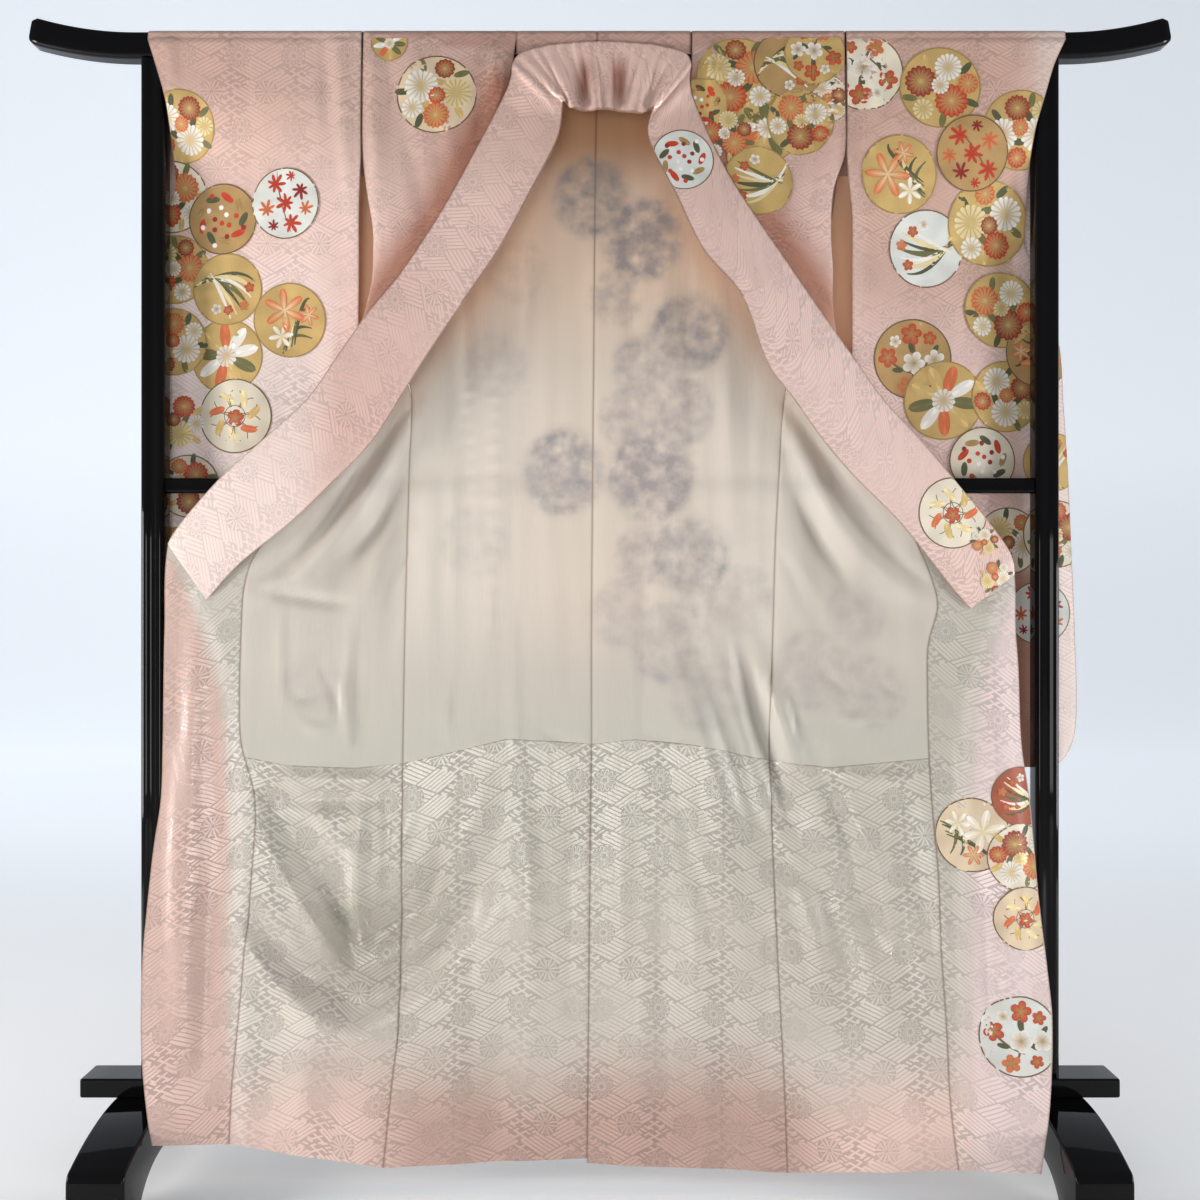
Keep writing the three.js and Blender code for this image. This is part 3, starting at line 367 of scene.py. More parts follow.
# Fine creases of the silk over those folds, each a bent line: start, middle and end
# (x, z), depth and width. No two are alike in length, depth or spacing.
CREASES = [
    # the pull from each side seam's top, down across the front to the okumi
    (-262, 1110, -330, 1020, -452, 838, 5.1, 13), (-268, 1085, -318, 965, -418, 850, -4.4, 11),
    (-270, 1040, -305, 930, -372, 838, 4.1, 12), (-275, 985, -300, 880, -352, 800, -3.7, 12),
    (-282, 1130, -352, 1060, -470, 905, -4.1, 10), (-290, 1170, -345, 1110, -400, 1040, 3.1, 12),
    (256, 1112, 322, 1020, 440, 850, 5.1, 13), (262, 1080, 312, 960, 405, 838, -4.4, 11),
    (262, 1030, 292, 925, 360, 820, 4.1, 12), (258, 975, 285, 870, 330, 780, -3.4, 12),
    (272, 1140, 345, 1062, 452, 930, -3.7, 10), (300, 1175, 340, 1120, 392, 1050, 3.1, 12),
    # the hem lining's loose swags
    (-478, 560, -392, 430, -330, 300, 6.1, 13), (-330, 560, -352, 420, -330, 300, -4.8, 12),
    (-330, 305, -300, 268, -262, 330, 5.4, 13), (-262, 330, -232, 430, -200, 560, 3.4, 12),
    (-470, 500, -420, 400, -362, 322, -4.1, 10), (-450, 420, -400, 330, -350, 250, 3.7, 12),
    (-430, 300, -380, 230, -330, 205, -3.4, 14), (-300, 560, -292, 480, -300, 400, 2.7, 10),
    (190, 770, 222, 640, 270, 500, 5.8, 12), (215, 760, 258, 640, 300, 540, -4.4, 11),
    (160, 700, 190, 560, 236, 420, 3.4, 13), (300, 600, 350, 480, 395, 330, 4.8, 13),
    (330, 560, 372, 470, 420, 400, -3.7, 11), (270, 480, 300, 380, 312, 250, -3.4, 13),
    (400, 520, 420, 400, 430, 240, 3.1, 12), (232, 420, 236, 300, 228, 120, 3.7, 13),
    # slack lengthwise creases of the back
    (-196, 1380, -190, 1150, -182, 860, 3.1, 9), (-150, 1300, -152, 1100, -150, 700, -2.5, 10),
    (-102, 1420, -98, 1240, -110, 980, 2.7, 8), (-66, 1200, -60, 1000, -62, 820, 2, 9),
    (-228, 1120, -222, 960, -226, 780, 2.7, 10), (-120, 860, -124, 700, -116, 560, -2.2, 9),
    (44, 1440, 48, 1260, 40, 1010, 2.9, 8), (84, 1380, 92, 1180, 88, 900, -2.4, 9),
    (126, 1330, 128, 1120, 140, 840, 3.1, 9), (176, 1290, 182, 1080, 190, 900, -2.7, 10),
    (212, 1180, 208, 1000, 214, 860, 2.4, 9), (60, 900, 66, 740, 58, 600, 2.2, 9),
    (-40, 520, -46, 360, -38, 180, 2.7, 12), (-96, 480, -90, 330, -104, 120, -2.7, 13),
    (-176, 470, -182, 300, -172, 90, 3.7, 14), (30, 540, 26, 380, 34, 200, -2.5, 12),
    (84, 420, 92, 260, 84, 80, 3.4, 13), (136, 460, 128, 300, 140, 120, -3.1, 13),
    # the okumi and the free front edges
    (-560, 800, -548, 640, -566, 420, 3.4, 11), (-520, 760, -528, 600, -516, 470, -2.7, 9),
    (-588, 620, -592, 480, -586, 300, -3.1, 10), (-540, 420, -546, 300, -536, 160, 3.4, 12),
    (540, 800, 548, 640, 540, 480, 3.4, 11), (500, 720, 508, 560, 498, 430, -2.7, 9),
    (572, 640, 578, 480, 584, 320, -3.1, 10), (530, 420, 536, 280, 528, 140, 3.4, 12),
    # the shoulders and chest, where the fronts turn under the collar
    (-300, 1560, -262, 1430, -240, 1330, 3.1, 13), (-250, 1590, -215, 1500, -200, 1400, -2.5, 11),
    (-318, 1500, -300, 1400, -296, 1320, -2.5, 11), (-180, 1580, -170, 1520, -172, 1460, 2.4, 10),
    (310, 1560, 268, 1430, 246, 1330, 3.1, 13), (262, 1590, 226, 1500, 206, 1400, -2.5, 11),
    (328, 1500, 312, 1400, 300, 1320, -2.5, 11), (192, 1580, 180, 1520, 178, 1450, 2.4, 10),
    # big swags across the lower lining, each a chain of two bends
    (-492, 402, -410, 268, -300, 272, 6.5, 17), (-300, 272, -205, 296, -150, 485, 5.0, 18),
    (-486, 330, -400, 205, -290, 214, -5.0, 17), (-290, 214, -190, 226, -120, 380, -4.0, 18),
    (-470, 520, -400, 372, -318, 352, 5.0, 15), (-318, 352, -256, 356, -214, 470, 4.0, 15),
    (-440, 585, -372, 470, -318, 452, -4.2, 13), (-318, 452, -276, 452, -262, 540, -3.2, 12),
    (186, 768, 214, 640, 268, 496, 7.0, 15), (206, 790, 246, 690, 286, 560, -5.5, 13),
    (268, 500, 310, 400, 352, 300, 5.0, 20), (300, 560, 356, 430, 420, 350, -4.6, 18),
    (420, 560, 436, 420, 470, 300, 4.6, 18), (214, 470, 240, 350, 300, 240, -4.2, 18),
    (110, 560, 150, 420, 168, 250, 3.8, 18), (-120, 560, -96, 420, -104, 260, -3.6, 18),
    # short sharp puckers under the seams and at the linings' joint
    (-432, 690, -410, 664, -396, 700, 2.6, 5), (-420, 650, -398, 628, -372, 640, -2.2, 5),
    (-396, 730, -374, 690, -368, 650, 2.2, 6), (-352, 606, -330, 640, -322, 700, 2.0, 6),
    (262, 700, 282, 660, 276, 610, 2.4, 5), (300, 740, 322, 700, 350, 690, 2.4, 6),
    (330, 660, 356, 640, 380, 660, -2.2, 5), (384, 720, 398, 690, 420, 684, 2.2, 5),
    (-262, 900, -284, 872, -300, 812, 2.6, 6), (252, 890, 276, 850, 290, 800, 2.6, 6),
    (-90, 640, -60, 618, -20, 616, 2.0, 6), (60, 634, 90, 618, 130, 622, 1.8, 6),
    # the front lining's slack under the linings' joint and just above it
    (-468, 574, -380, 560, -286, 568, -5.5, 11), (-462, 545, -380, 530, -286, 545, 6.0, 12),
    (-350, 770, -364, 690, -352, 612, -4.0, 5), (-342, 740, -346, 690, -340, 640, 2.6, 5),
    (-214, 700, -220, 660, -212, 622, -3.0, 5), (300, 580, 380, 560, 452, 574, -4.5, 11),
    (-491, 385, -430, 275, -335, 255, 6.0, 13), (-335, 255, -260, 262, -155, 436, 6.0, 13),
    (-486, 352, -420, 240, -330, 222, -5.5, 14), (-330, 222, -235, 232, -130, 410, -5.5, 14),
    # the linings' sweep from the collar's ends, and the long slant right of the middle
    (-316, 1016, -346, 886, -490, 824, -6.0, 14), (-336, 1012, -366, 908, -482, 852, 4.6, 11),
    (300, 1016, 330, 876, 468, 812, -6.0, 14), (320, 1012, 354, 902, 472, 838, 4.6, 11),
    (120, 800, 175, 600, 250, 455, 5.0, 15), (92, 790, 148, 590, 238, 420, -4.0, 15),
    (250, 455, 285, 420, 330, 405, 3.6, 13),
    # fine wandering creases of the plain lining
    (-480, 834, -420, 818, -350, 812, 4.0, 7), (-446, 812, -453, 740, -444, 664, -2.6, 5),
    (-206, 1100, -213, 930, -204, 760, -2.8, 5), (-112, 970, -117, 880, -110, 800, -2.2, 4),
    (-160, 900, -154, 820, -162, 720, -2.0, 4), (354, 800, 346, 730, 356, 650, -2.8, 5),
    (150, 980, 158, 880, 148, 760, -2.4, 4), (226, 1050, 220, 940, 228, 800, -2.6, 5),
    # the fronts' neck edges, turned back a little above the collar's seam
    (-152, 1604, -144, 1562, -146, 1512, -4.0, 6), (-130, 1606, -124, 1580, -112, 1556, 3.0, 5),
    (-196, 1628, -180, 1602, -150, 1598, -3.0, 6), (164, 1604, 156, 1566, 160, 1516, -4.0, 6),
    (204, 1628, 188, 1604, 160, 1600, -3.0, 6),
    # ridges from the rail down beside the armholes, the right one longer
    (-325, 1640, -321, 1470, -312, 1300, -5.0, 9), (-304, 1640, -302, 1560, -300, 1460, 2.6, 8),
    (-276, 1640, -268, 1590, -262, 1520, -2.6, 9), (-150, 1640, -146, 1580, -150, 1500, -4.0, 9),
    (336, 1640, 330, 1500, 322, 1350, -4.6, 9), (310, 1640, 306, 1560, 306, 1450, 2.4, 8),
    (166, 1640, 160, 1590, 166, 1510, -3.6, 9),
]


def on_line(rows, z):
    """Points of an edge at heights z: a cubic Hermite through its table, whose slope
    at each row is that between the rows on both sides of it."""
    table = np.asarray(rows, float)
    zs, i = table[:, 0], np.clip(np.searchsorted(-table[:, 0], -z) - 1, 0, len(table) - 2)
    gap = zs[i + 1] - zs[i]
    t = (z - zs[i]) / gap
    ease, out = t * t * (3 - 2 * t), []
    for col in range(1, table.shape[1]):
        v = table[:, col]
        slope = np.gradient(v, zs)
        slope[1:-1] = (v[2:] - v[:-2]) / (zs[2:] - zs[:-2])
        out.append(v[i] * (1 - ease) + v[i + 1] * ease
                   + gap * (slope[i] * t * (1 - t) ** 2 - slope[i + 1] * t * t * (1 - t)))
    if len(out) == 2:
        return np.stack([out[0], out[1], z + 0 * t], -1)
    return np.stack(out, -1)


def eased(t):
    """0 to 1 along a smooth step."""
    t = np.clip(t, 0, 1)
    return t * t * (3 - 2 * t)


def weft(side, r, edge):
    """Height of weft row r at the side edge (0), okumi seam (1) or front edge (2)."""
    z = np.interp(r, np.arange(len(ROWS)), np.asarray(ROWS, float)[:, edge])
    if side == "left":
        z = z - LEFT_DROP[edge] * eased((450 - z) / 450) ** 1.5
    return z


def folded(x, z):
    """Depth of the broad folds: along each one's line its depth swells as a sine and
    falls off to both sides as a bell curve."""
    depth = np.zeros(np.shape(x))
    for x0, z0, x1, z1, deep, width in FOLDS:
        dx, dz = x1 - x0, z1 - z0
        c = np.clip(((x - x0) * dx + (z - z0) * dz) / (dx * dx + dz * dz), 0, 1)
        off = np.hypot(x - x0 - c * dx, z - z0 - c * dz)
        swell = 0.35 + 0.65 * np.sin(math.pi * np.clip(c, 0.02, 0.98))
        depth += deep * swell * np.exp(-(off / width) ** 2)
    return depth


def creased(x, z, table=CREASES):
    """Depth of the fine creases: distance to the nearest of 26 points on each bent
    line, under a bell curve that dies away to both of its ends."""
    depth = np.zeros(np.shape(x))
    t = np.linspace(0, 1, 26)
    for x0, z0, xm, zm, x1, z1, deep, width in table:
        reach = 3 * width
        near = ((x > min(x0, xm, x1) - reach) & (x < max(x0, xm, x1) + reach)
                & (z > min(z0, zm, z1) - reach) & (z < max(z0, zm, z1) + reach))
        if not near.any():
            continue
        lx = (1 - t) ** 2 * x0 + 2 * t * (1 - t) * xm + t * t * x1
        lz = (1 - t) ** 2 * z0 + 2 * t * (1 - t) * zm + t * t * z1
        gap = np.hypot(x[near][:, None] - lx, z[near][:, None] - lz)
        k = gap.argmin(1)
        depth[near] += deep * np.sin(math.pi * (0.06 + 0.88 * t[k])) * np.exp(-(gap.min(1) / width) ** 2)
    return depth


# The rail's crown under the cloth: half its flat part, its edge's round and the level
# of that round's middle; the x at which the collar's middle stands.
CROWN_HALF, CROWN_ROUND, CROWN_LEVEL, NECK_X = 9, 8.45, 1624, -4


def over_rail(r, near):
    """Rows -5 to 0: along the rail's crown, round its edge on a quarter circle and a
    little way down, on the near or the far side."""
    row = r + 5
    a = math.pi / 2 * np.clip((row - 1) / 3, 0, 1)
    y = CROWN_HALF * np.minimum(1, row) + CROWN_ROUND * np.sin(a)
    z = CROWN_LEVEL + CROWN_ROUND * np.cos(a) - np.clip(row - 4, 0, None) * 8
    return (-y if near else y), z


def from_rail(p, x, r, near):
    """The surface p with its rows above 0 laid over the rail at x; between rows -1 and
    0 the one runs into the other in a straight line."""
    crown = np.stack([x, *over_rail(r, near)], -1)
    return np.where(r[..., None] < 0, crown + (p - crown) * np.clip(r + 1, 0, 1)[..., None], p)


def back_cloth(side):
    """The back's surface: s runs 0 to 1 from the centre seam to the side edge along
    straight wefts, r down the rows."""
    edge = BACK_EDGE[side] + [row for row in SIDE_EDGE[side] if row[0] <= SIDE_SEAM_TOP]

    def at(s, r):
        s, r = np.broadcast_arrays(np.asarray(s, float), np.asarray(r, float))
        r0 = np.maximum(r, 0)
        top = np.interp(r0, np.arange(OWN + 1), BACK_ROWS + [float(weft(side, SEAM, 0))])
        z = np.where(r0 <= OWN, top, weft(side, r0 - OWN + SEAM, 0))
        # at the hem the centre seam ends 9 mm higher than the side edges
        a, b = on_line(CENTRE_BACK, z + eased((300 - z) / 300) * 9), on_line(edge, z)
        p = a + (b - a) * s[..., None]
        p[..., 1] += folded(p[..., 0], p[..., 2]) * eased((1180 - z) / 80)
        p[..., 1] += creased(p[..., 0], p[..., 2]) * eased((1500 - z) / 60)
        return from_rail(p, NECK_X + (edge[0][1] - NECK_X) * s, r, False)
    return at


def spread(start, end, steps, seam=0.012):
    """Places from start to end in equal steps, with three more close to each seam."""
    close = seam * np.array([0.5, 1, 2])
    t = np.unique(np.concatenate([np.linspace(0, 1, steps + 1), close, 1 - close]))
    return start + (end - start) * t


def rows_between(start, end, per=7):
    """Rows from start to end, a number of them to each weft row of the tables."""
    return np.linspace(start, end, int(round((end - start) * per)) + 1)


def dye(r, g, b, gold=0.0):
    """A colour from its screen values, as light; its fourth number is how far it is metal."""
    c = np.array([r, g, b]) / 255
    return np.append(np.where(c > 0.04045, ((c + 0.055) / 1.055) ** 2.4, c / 12.92), gold)


def mixed(base, other, share):
    """Base colours with a share of another laid over them at each point."""
    return base + (other - base) * share[..., None]


def shaded(base, share, depth):
    """Base colours darkened where the share is 1 by a depth for each of red, green
    and blue; their fourth number stays."""
    return base * (1 - share[..., None] * np.array([*depth, 0]))


PINK, PINK_LIGHT, PINK_LIT = dye(228, 192, 180), dye(236, 206, 196), dye(246, 226, 218)


def outer_tint(p):
    """Salmon-pink silk in slow bands of lighter and deeper pink, with painted light low
    on the right sleeve and past the left post, and painted shade at the shoulders, on
    the upper left sleeve and on the strip that lies over the rail beside the neck."""
    x, z = p[..., 0], p[..., 2]
    slow = 0.5 + 0.25 * np.sin(x / 83 + z / 290) + 0.25 * np.sin(z / 131 - x / 210 + 1.3)
    # painted light: paler low on the right sleeve and past the left post
    pale = eased((-x - 350) / 90) * eased((1380 - z) / 200) + eased((x - 600) / 40)
    base = mixed(mixed(PINK, PINK_LIGHT, slow), PINK_LIT, pale)
    # painted shade at the shoulders and on the upper left sleeve
    painted_shade = eased((z - 1330) / 200) * 0.8 + eased((x - 330) / 60) * eased((z - 1150) / 150) * (x < 600)
    base = shaded(base, np.clip(painted_shade, 0, 1), (0.22, 0.29, 0.35))
    # painted shade on the strip of the back that lies over the rail beside the neck
    line = np.interp(np.abs(x - NECK_X), [120, 300], [1594, 1622])
    strip = eased((z - line) / 4) * (p[..., 1] < 0) * (np.abs(x) < 330)
    return shaded(base, strip, 1 - dye(226, 216, 214)[:3])


def normal(at, u, v, turn):
    """Unit normal of at(u, v): the cross product of its two tangents, times the turn."""
    e = 0.02
    n = np.cross(at(u + e, v) - at(u - e, v), at(u, v + e) - at(u, v - e))
    return n * (turn / np.maximum(np.linalg.norm(n, axis=-1), 1e-9)[..., None])


# Where the two skins of a panel lie, in millimetres along the normal from the surface
# that outer silk and lining are sewn back to back on.
OUTER, LINING = (-0.15, -1.3), (0.15, 1.3)
# How far the shown skin dips at a seam, over what distance, and how wide and how dark
# the line of the seam itself is.
SEAM_DIP, SEAM_REACH, SEAM_LINE, SEAM_DARK = 0.35, 2.6, 1.3, (0.5, 0.58, 0.64)


def wall_faces(w, h):
    """Faces of a wall whose points are one grid of w by h and then another: the far
    grid's, the near grid's the other way round, and those of the rim between them."""
    size = w * h
    i, j = np.meshgrid(np.arange(w - 1), np.arange(h - 1))
    a = (j * w + i).ravel()
    face = np.stack([a, a + 1, a + w + 1, a + w], 1)
    loop = np.concatenate([np.arange(w), np.arange(1, h) * w + w - 1,
                           (h - 1) * w + np.arange(w - 2, -1, -1), np.arange(h - 2, 0, -1) * w])
    after = np.roll(loop, -1)
    rim = np.stack([loop, after, after + size, loop + size], 1)
    return np.concatenate([face + size, face[:, ::-1], rim])


def panel(name, node, at, us, vs, skins, turn, tint, material, top_seam=0):
    """A thin wall of cloth: points of at(u, v) offset to its two skins and closed round
    the edges, with its first and last columns, and if wished its top row, sunk and
    darkened as seams."""
    u, v = np.meshgrid(us, vs)
    p, n, (near, far) = at(u, v), normal(at, u, v, turn), skins
    wide = np.linalg.norm(np.diff(p, axis=1), axis=-1)
    across = np.concatenate([np.zeros((len(vs), 1)), np.cumsum(wide, 1)], 1)
    high = np.linalg.norm(np.diff(p, axis=0), axis=-1)
    down = np.concatenate([np.zeros((1, len(us))), np.cumsum(high, 0)], 0)
    edge = np.minimum(across, across[:, -1:] - across)
    dip = SEAM_DIP * np.exp(-(edge / SEAM_REACH) ** 2) * np.sign(far - near)
    points = np.concatenate([skin.reshape(-1, 3) for skin in (p + n * near, p + n * (far - dip)[..., None])])
    faces = wall_faces(len(us), len(vs))
    if (far - near) * turn < 0:
        faces = faces[:, ::-1]
    mesh = bpy.data.meshes.new(name)
    mesh.vertices.add(len(points))
    mesh.vertices.foreach_set("co", (points / 1000).ravel())
    mesh.loops.add(faces.size)
    mesh.loops.foreach_set("vertex_index", faces.ravel())
    mesh.polygons.add(len(faces))
    mesh.polygons.foreach_set("loop_start", np.arange(0, faces.size, 4))
    mesh.update(calc_edges=True)
    colour = mesh.color_attributes.new("tint", "FLOAT_COLOR", "POINT")
    seam = np.maximum(np.exp(-(edge / SEAM_LINE) ** 2), top_seam * np.exp(-(down / SEAM_LINE) ** 2))
    shade = shaded(tint(p), seam, SEAM_DARK)
    colour.data.foreach_set("color", np.concatenate([shade.reshape(-1, 4)] * 2).ravel())
    flat = np.stack([across, -down], -1).reshape(-1, 2) / 1000
    layer = mesh.uv_layers.new(name="weave")
    layer.data.foreach_set("uv", np.concatenate([flat] * 2)[faces.ravel()].ravel())
    mesh.shade_smooth()
    mesh.set_sharp_from_angle(angle=math.radians(55))
    stands_for(placed(name, mesh, material), node)


# Rinzu damask: the ground is a key fret on a grid slanted by 30 degrees, one block of
# it charted here, with chrysanthemums and orchids scattered over it.
FRET = [
    "...###.###..", "#..#....###.", "#..#........", "#######.###.", "...#..#.....", "...#..#.###.",
    ".###.....###", "......#..#..", ".#.#.##..#..", "##.#.#######", "##.#.#...#..", "#........#..",
]


# A unit of the fret in millimetres, units to a block, how far the grid runs across for
# each step down, the flowers' columns, their distance down a column and their radius.
UNIT, BLOCK, SLANT, COLUMN, DROP, FLOWER = 3.0, 12.0, 1.732, 39.0, 106.0, 16.0


def fret(t, u, v):
    """The fret at u, v: of every three blocks one has the keys of the chart, read as
    binary numbers, and two have long bars, slanting either way."""
    a, b = (u / SLANT + v) / UNIT, (v - u / SLANT) / UNIT
    col, row = (t.maths("FLOOR", t.maths("FLOORED_MODULO", c, BLOCK)) for c in (a, b))
    bits = 0.0
    for k, line in enumerate(FRET):
        number = sum(2 ** i for i, c in enumerate(line) if c == "#")
        bits = bits + t.maths("COMPARE", row, float(k), 0.5) * float(number)
    keys = t.maths("FLOORED_MODULO", t.maths("FLOOR", bits / t.maths("POWER", 2.0, col)), 2.0)
    turn = t.maths("FLOORED_MODULO", t.maths("FLOOR", a / BLOCK) + 2.0 * t.maths("FLOOR", b / BLOCK), 3.0)
    rising, falling = ((t.maths("FRACT", c / 2.0) > 0.26) * (t.maths("FRACT", d / BLOCK) > 0.06)
                       for c, d in ((b, a), (a, b)))
    return (turn < 0.5) * keys + (turn > 1.5) * rising + (turn > 0.5) * (turn < 1.5) * falling


def flowers(t, u, v):
    """The scattered flowers and the distance from the nearest one's middle in its own
    radii: in every other column chrysanthemums, half a drop lower six-petalled orchids."""
    column = t.maths("FLOOR", u / COLUMN)
    x = (t.maths("FRACT", u / COLUMN) - 0.5) * COLUMN
    y = (t.maths("FRACT", v / DROP + column * 0.5) - 0.5) * DROP
    r = t.maths("SQRT", x * x + y * y) / FLOWER
    angle = t.maths("ARCTAN2", y, x)
    odd = t.maths("FLOORED_MODULO", column, 2.0)
    fine = t.maths("ABSOLUTE", t.maths("SINE", angle * 6.0))
    broad = t.maths("ABSOLUTE", t.maths("COSINE", angle * 3.0))
    hollow = (fine > 0.8) * (r > 0.42) * (r < 0.84)
    many = (fine > 0.3) * (r < 0.74 + 0.26 * fine) * (r > 0.2) * (1 - hollow)
    few = (broad > 0.15 + 0.6 * r * r) * (broad < 0.94) * (r > 0.14) + (r > 0.74) * (r < 0.84) * (broad < 0.4)
    return many * (1 - odd) + few * odd, r


def silk(name, rough, figure, crepe, sheen=0.35):
    """Dyed silk in the colours its mesh carries. The figure is woven in satin on a
    duller ground, so it shows by its gloss, a little height and a painted sheen that
    lightens the figure and darkens the ground; where there is no figure, a painted
    shadow of the outer side's painting shows through, mottled, as light from behind
    would cast it."""
    material, t, shader = finish_of(name)
    tint, place = t.tint(), t.node("UVMap", {"uv_map": "weave"}, {})
    u, v = place.part(0) * 1000, place.part(1) * 1000
    grain = t.noise(place, 900.0, 2.0)
    slub = t.noise(t.node("CombineXYZ", {}, {0: u * 0.5, 1: v * 0.035}), 1.0, 2.0)
    rumple = t.noise(t.node("CombineXYZ", {}, {0: u * 0.045, 1: v * 0.008}), 1.0, 3.0)
    height, dull = (grain * 0.4 + slub * 0.6) * crepe + rumple * 3.0, rough + 0.05 * slub
    if figure:
        motif, r = flowers(t, u, v)
        mark = t.maths("MAXIMUM", fret(t, u, v) * (r > 1.04), motif * 0.8)
        height, dull = height + mark * 0.8, rough + 0.1 - 0.2 * mark + 0.05 * slub
        # painted sheen: the figure's lighter tint comes and goes with the way the silk lies to the light
        shown = t.node("MapRange", {}, {0: t.noise(place, 7.0, 2.0), 1: 0.38, 2: 0.58, 3: 0.5, 4: 1.0})
        low, high = 1 - figure, 1 + figure * 0.7
        tint = t.blend(shown, tint, t.blend(mark, (low, low, low, 1), (high, high, high, 1)), "MULTIPLY")
    else:
        # painted show-through: a mottled shadow of the outer side's painting
        spot = t.spot()
        painted_show_through = t.blend(t.noise(spot, 17.0, 1.0), (0.22, 0.24, 0.27, 1), (0.36, 0.27, 0.27, 1))
        through = (1 - t.tint(1)) * (t.noise(spot, 46.0, 2.5) * 3.2 - 0.75)
        tint = t.blend(t.maths("MINIMUM", t.maths("MAXIMUM", through, 0.0), 0.8), tint, painted_show_through)
    fill(shader, {"Base Color": tint, "Roughness": dull, "Normal": t.bump(0.5, 0.0006, height),
                  "Sheen Weight": sheen, "Sheen Roughness": 0.4, "Specular IOR Level": 0.85})
    return material


# How far the neck part reaches to both sides of the collar's middle, and how high the
# collar's seam lies there.
NECK_HALF, NECK_SEAM = {"right": -115.5, "left": 133.5}, 1606


def neck_cloth(side):
    """The back's neck part: over the rail's crown to the near side, then down to the
    collar's seam, whose height drops as the square of the way out; soft pleats."""
    def at(u, v):
        u, v = np.broadcast_arrays(np.asarray(u, float), np.asarray(v, float))
        y, high = over_rail(np.minimum(v, -1), True)
        low = high + (NECK_SEAM - 9 * u * u - high) * np.clip(v + 1, 0, 1)
        x = NECK_X + NECK_HALF[side] * u
        pleat = 0.9 * (1 + np.sin(u * 31 + 1)) * np.clip(v + 3, 0, 3) / 3
        return np.stack([x, y - 0.6 * pleat, np.where(v < -1, high, low)], -1)
    return at


pink_damask = silk("pink_damask", 0.32, 0.19, 1.0)
BACK_SPAN, SIDES = spread(0, 1, 40), (("right", 1), ("left", -1))
for side, turn in SIDES:
    panel("outer_back_" + side, "back_" + side, back_cloth(side), BACK_SPAN,
          np.concatenate([np.linspace(-5, 0, 21)[:-1], rows_between(0, BACK_HEM)]),
          OUTER, turn, outer_tint, pink_damask)
    panel("outer_back_neck_" + side, "back_" + side, neck_cloth(side), np.linspace(0, 1, 41),
          np.linspace(-4.98, 0, 21), OUTER, -turn, outer_tint, pink_damask)

# ---- the back's lining -----------------------------------------------------
# Plain cream silk in the upper part (do-ura) and figured silk in the lower third
# (hakkake), sewn together level across and hung wrong side to wrong side.
CREAM, GREEN_CREAM = dye(226, 215, 201), dye(210, 207, 192)
# Painted show-through: the outer back's flower circles, as light from behind would cast
# them through the plain lining, as dim patches: middle (x, z), radius, strength.
SHADOWS = [
    (-14, 1402, 56, 0.75), (62, 1338, 58, 0.85), (22, 1250, 40, 0.45), (128, 1200, 56, 0.7),
    (60, 1150, 44, 0.55), (-52, 1000, 58, 0.8), (72, 992, 60, 0.9), (112, 1085, 50, 0.6),
    (36, 1080, 40, 0.5), (128, 878, 56, 0.65), (60, 880, 40, 0.5), (100, 760, 60, 0.4), (150, 690, 56, 0.3),
    (30, 800, 46, 0.3), (196, 820, 50, 0.3), (-150, 1150, 46, 0.22), (-120, 1290, 46, 0.2),
    (-180, 900, 50, 0.16), (300, 720, 56, 0.3), (380, 690, 50, 0.3), (360, 800, 44, 0.24),
    (-400, 700, 46, 0.16)]


def lining_tint(p):
    """Cream, greener below, with a painted warm glow in the middle and near the top.
    Painted shade: brown in the collar's shade above and along its free edge, soft
    lengthwise bands as of fine creases, a shadow across where the middle rail is
    behind it, and a little darker low down and towards the sides. The fourth number
    is 1 where nothing shows through."""
    x, z = p[..., 0], p[..., 2]
    # painted warm glow in the middle and near the top
    base = mixed(CREAM, dye(226, 206, 186), 0.6 * np.exp(-((x - 20) / 150) ** 2) * eased((z - 640) / 200))
    base = mixed(base, dye(255, 224, 196), 0.85 * eased((z - 1120) / 200))
    base = mixed(base, GREEN_CREAM, 0.75 * eased((760 - z) / 180))
    # painted shade of fine creases in soft lengthwise bands
    crease_shade = 0.5 + 0.3 * np.sin(x / 13.5 + np.sin(z / 210) * 1.6) + 0.2 * np.sin(x / 5.7 + z / 160)
    dim = np.zeros(x.shape)
    for px, pz, size, strength in SHADOWS:
        off = np.hypot(x - px, (z - pz) * 0.96) / size
        rim = 0.6 + 0.4 * np.sin(2 * np.arctan2(z - pz, x - px) + px)
        patch = 0.75 * np.exp(-(off / 0.95) ** 6) + 0.5 * np.exp(-((off - 0.88) / 0.13) ** 2) * rim
        dim = np.maximum(dim, strength * patch)
    # painted shade of the collar, above and along its free edge
    edge = np.interp(z, [820, 1039, 1165, 1306, 1465, 1513], [560, 316, 235, 141, 62, 52])
    rim = np.exp(-np.clip(edge - np.abs(x - 4), 0, None) / 26) * eased((z - 1010) / 120)
    base = shaded(base, np.maximum(eased((z - 1385) / 110), 0.4 * rim), (0.34, 0.52, 0.66))
    # darker low down and towards the sides
    aside = np.maximum(0.2 * eased((860 - z) / 180), 0.16 * eased((np.abs(x) - 250) / 60))
    # painted shadow of the middle rail behind the lining
    rail = 0.10 * np.exp(-((z - MIDDLE_LEVEL) / 13) ** 2) * (np.abs(x) < 330)
    for darker in (0.09 * crease_shade * eased((z - 620) / 200), aside, rail):
        base = base * (1 - darker)[..., None]
    base[..., 3] = 1 - np.clip(dim, 0, 1)
    return base


# Painted shade on the hem lining's slack pouches, and painted light where how much is
# below 0: middle, half width and height, how much.
POUCH_SHADE_AND_SHEEN = [(-330, 338, 72, 78, 0.3), (-232, 384, 32, 84, 0.2), (-410, 222, 90, 38, -0.12),
           (-160, 330, 80, 90, -0.08), (352, 320, 64, 90, 0.06), (-60, 500, 60, 50, 0.08),
           (330, 160, 90, 50, -0.1), (110, 300, 70, 90, -0.05)]


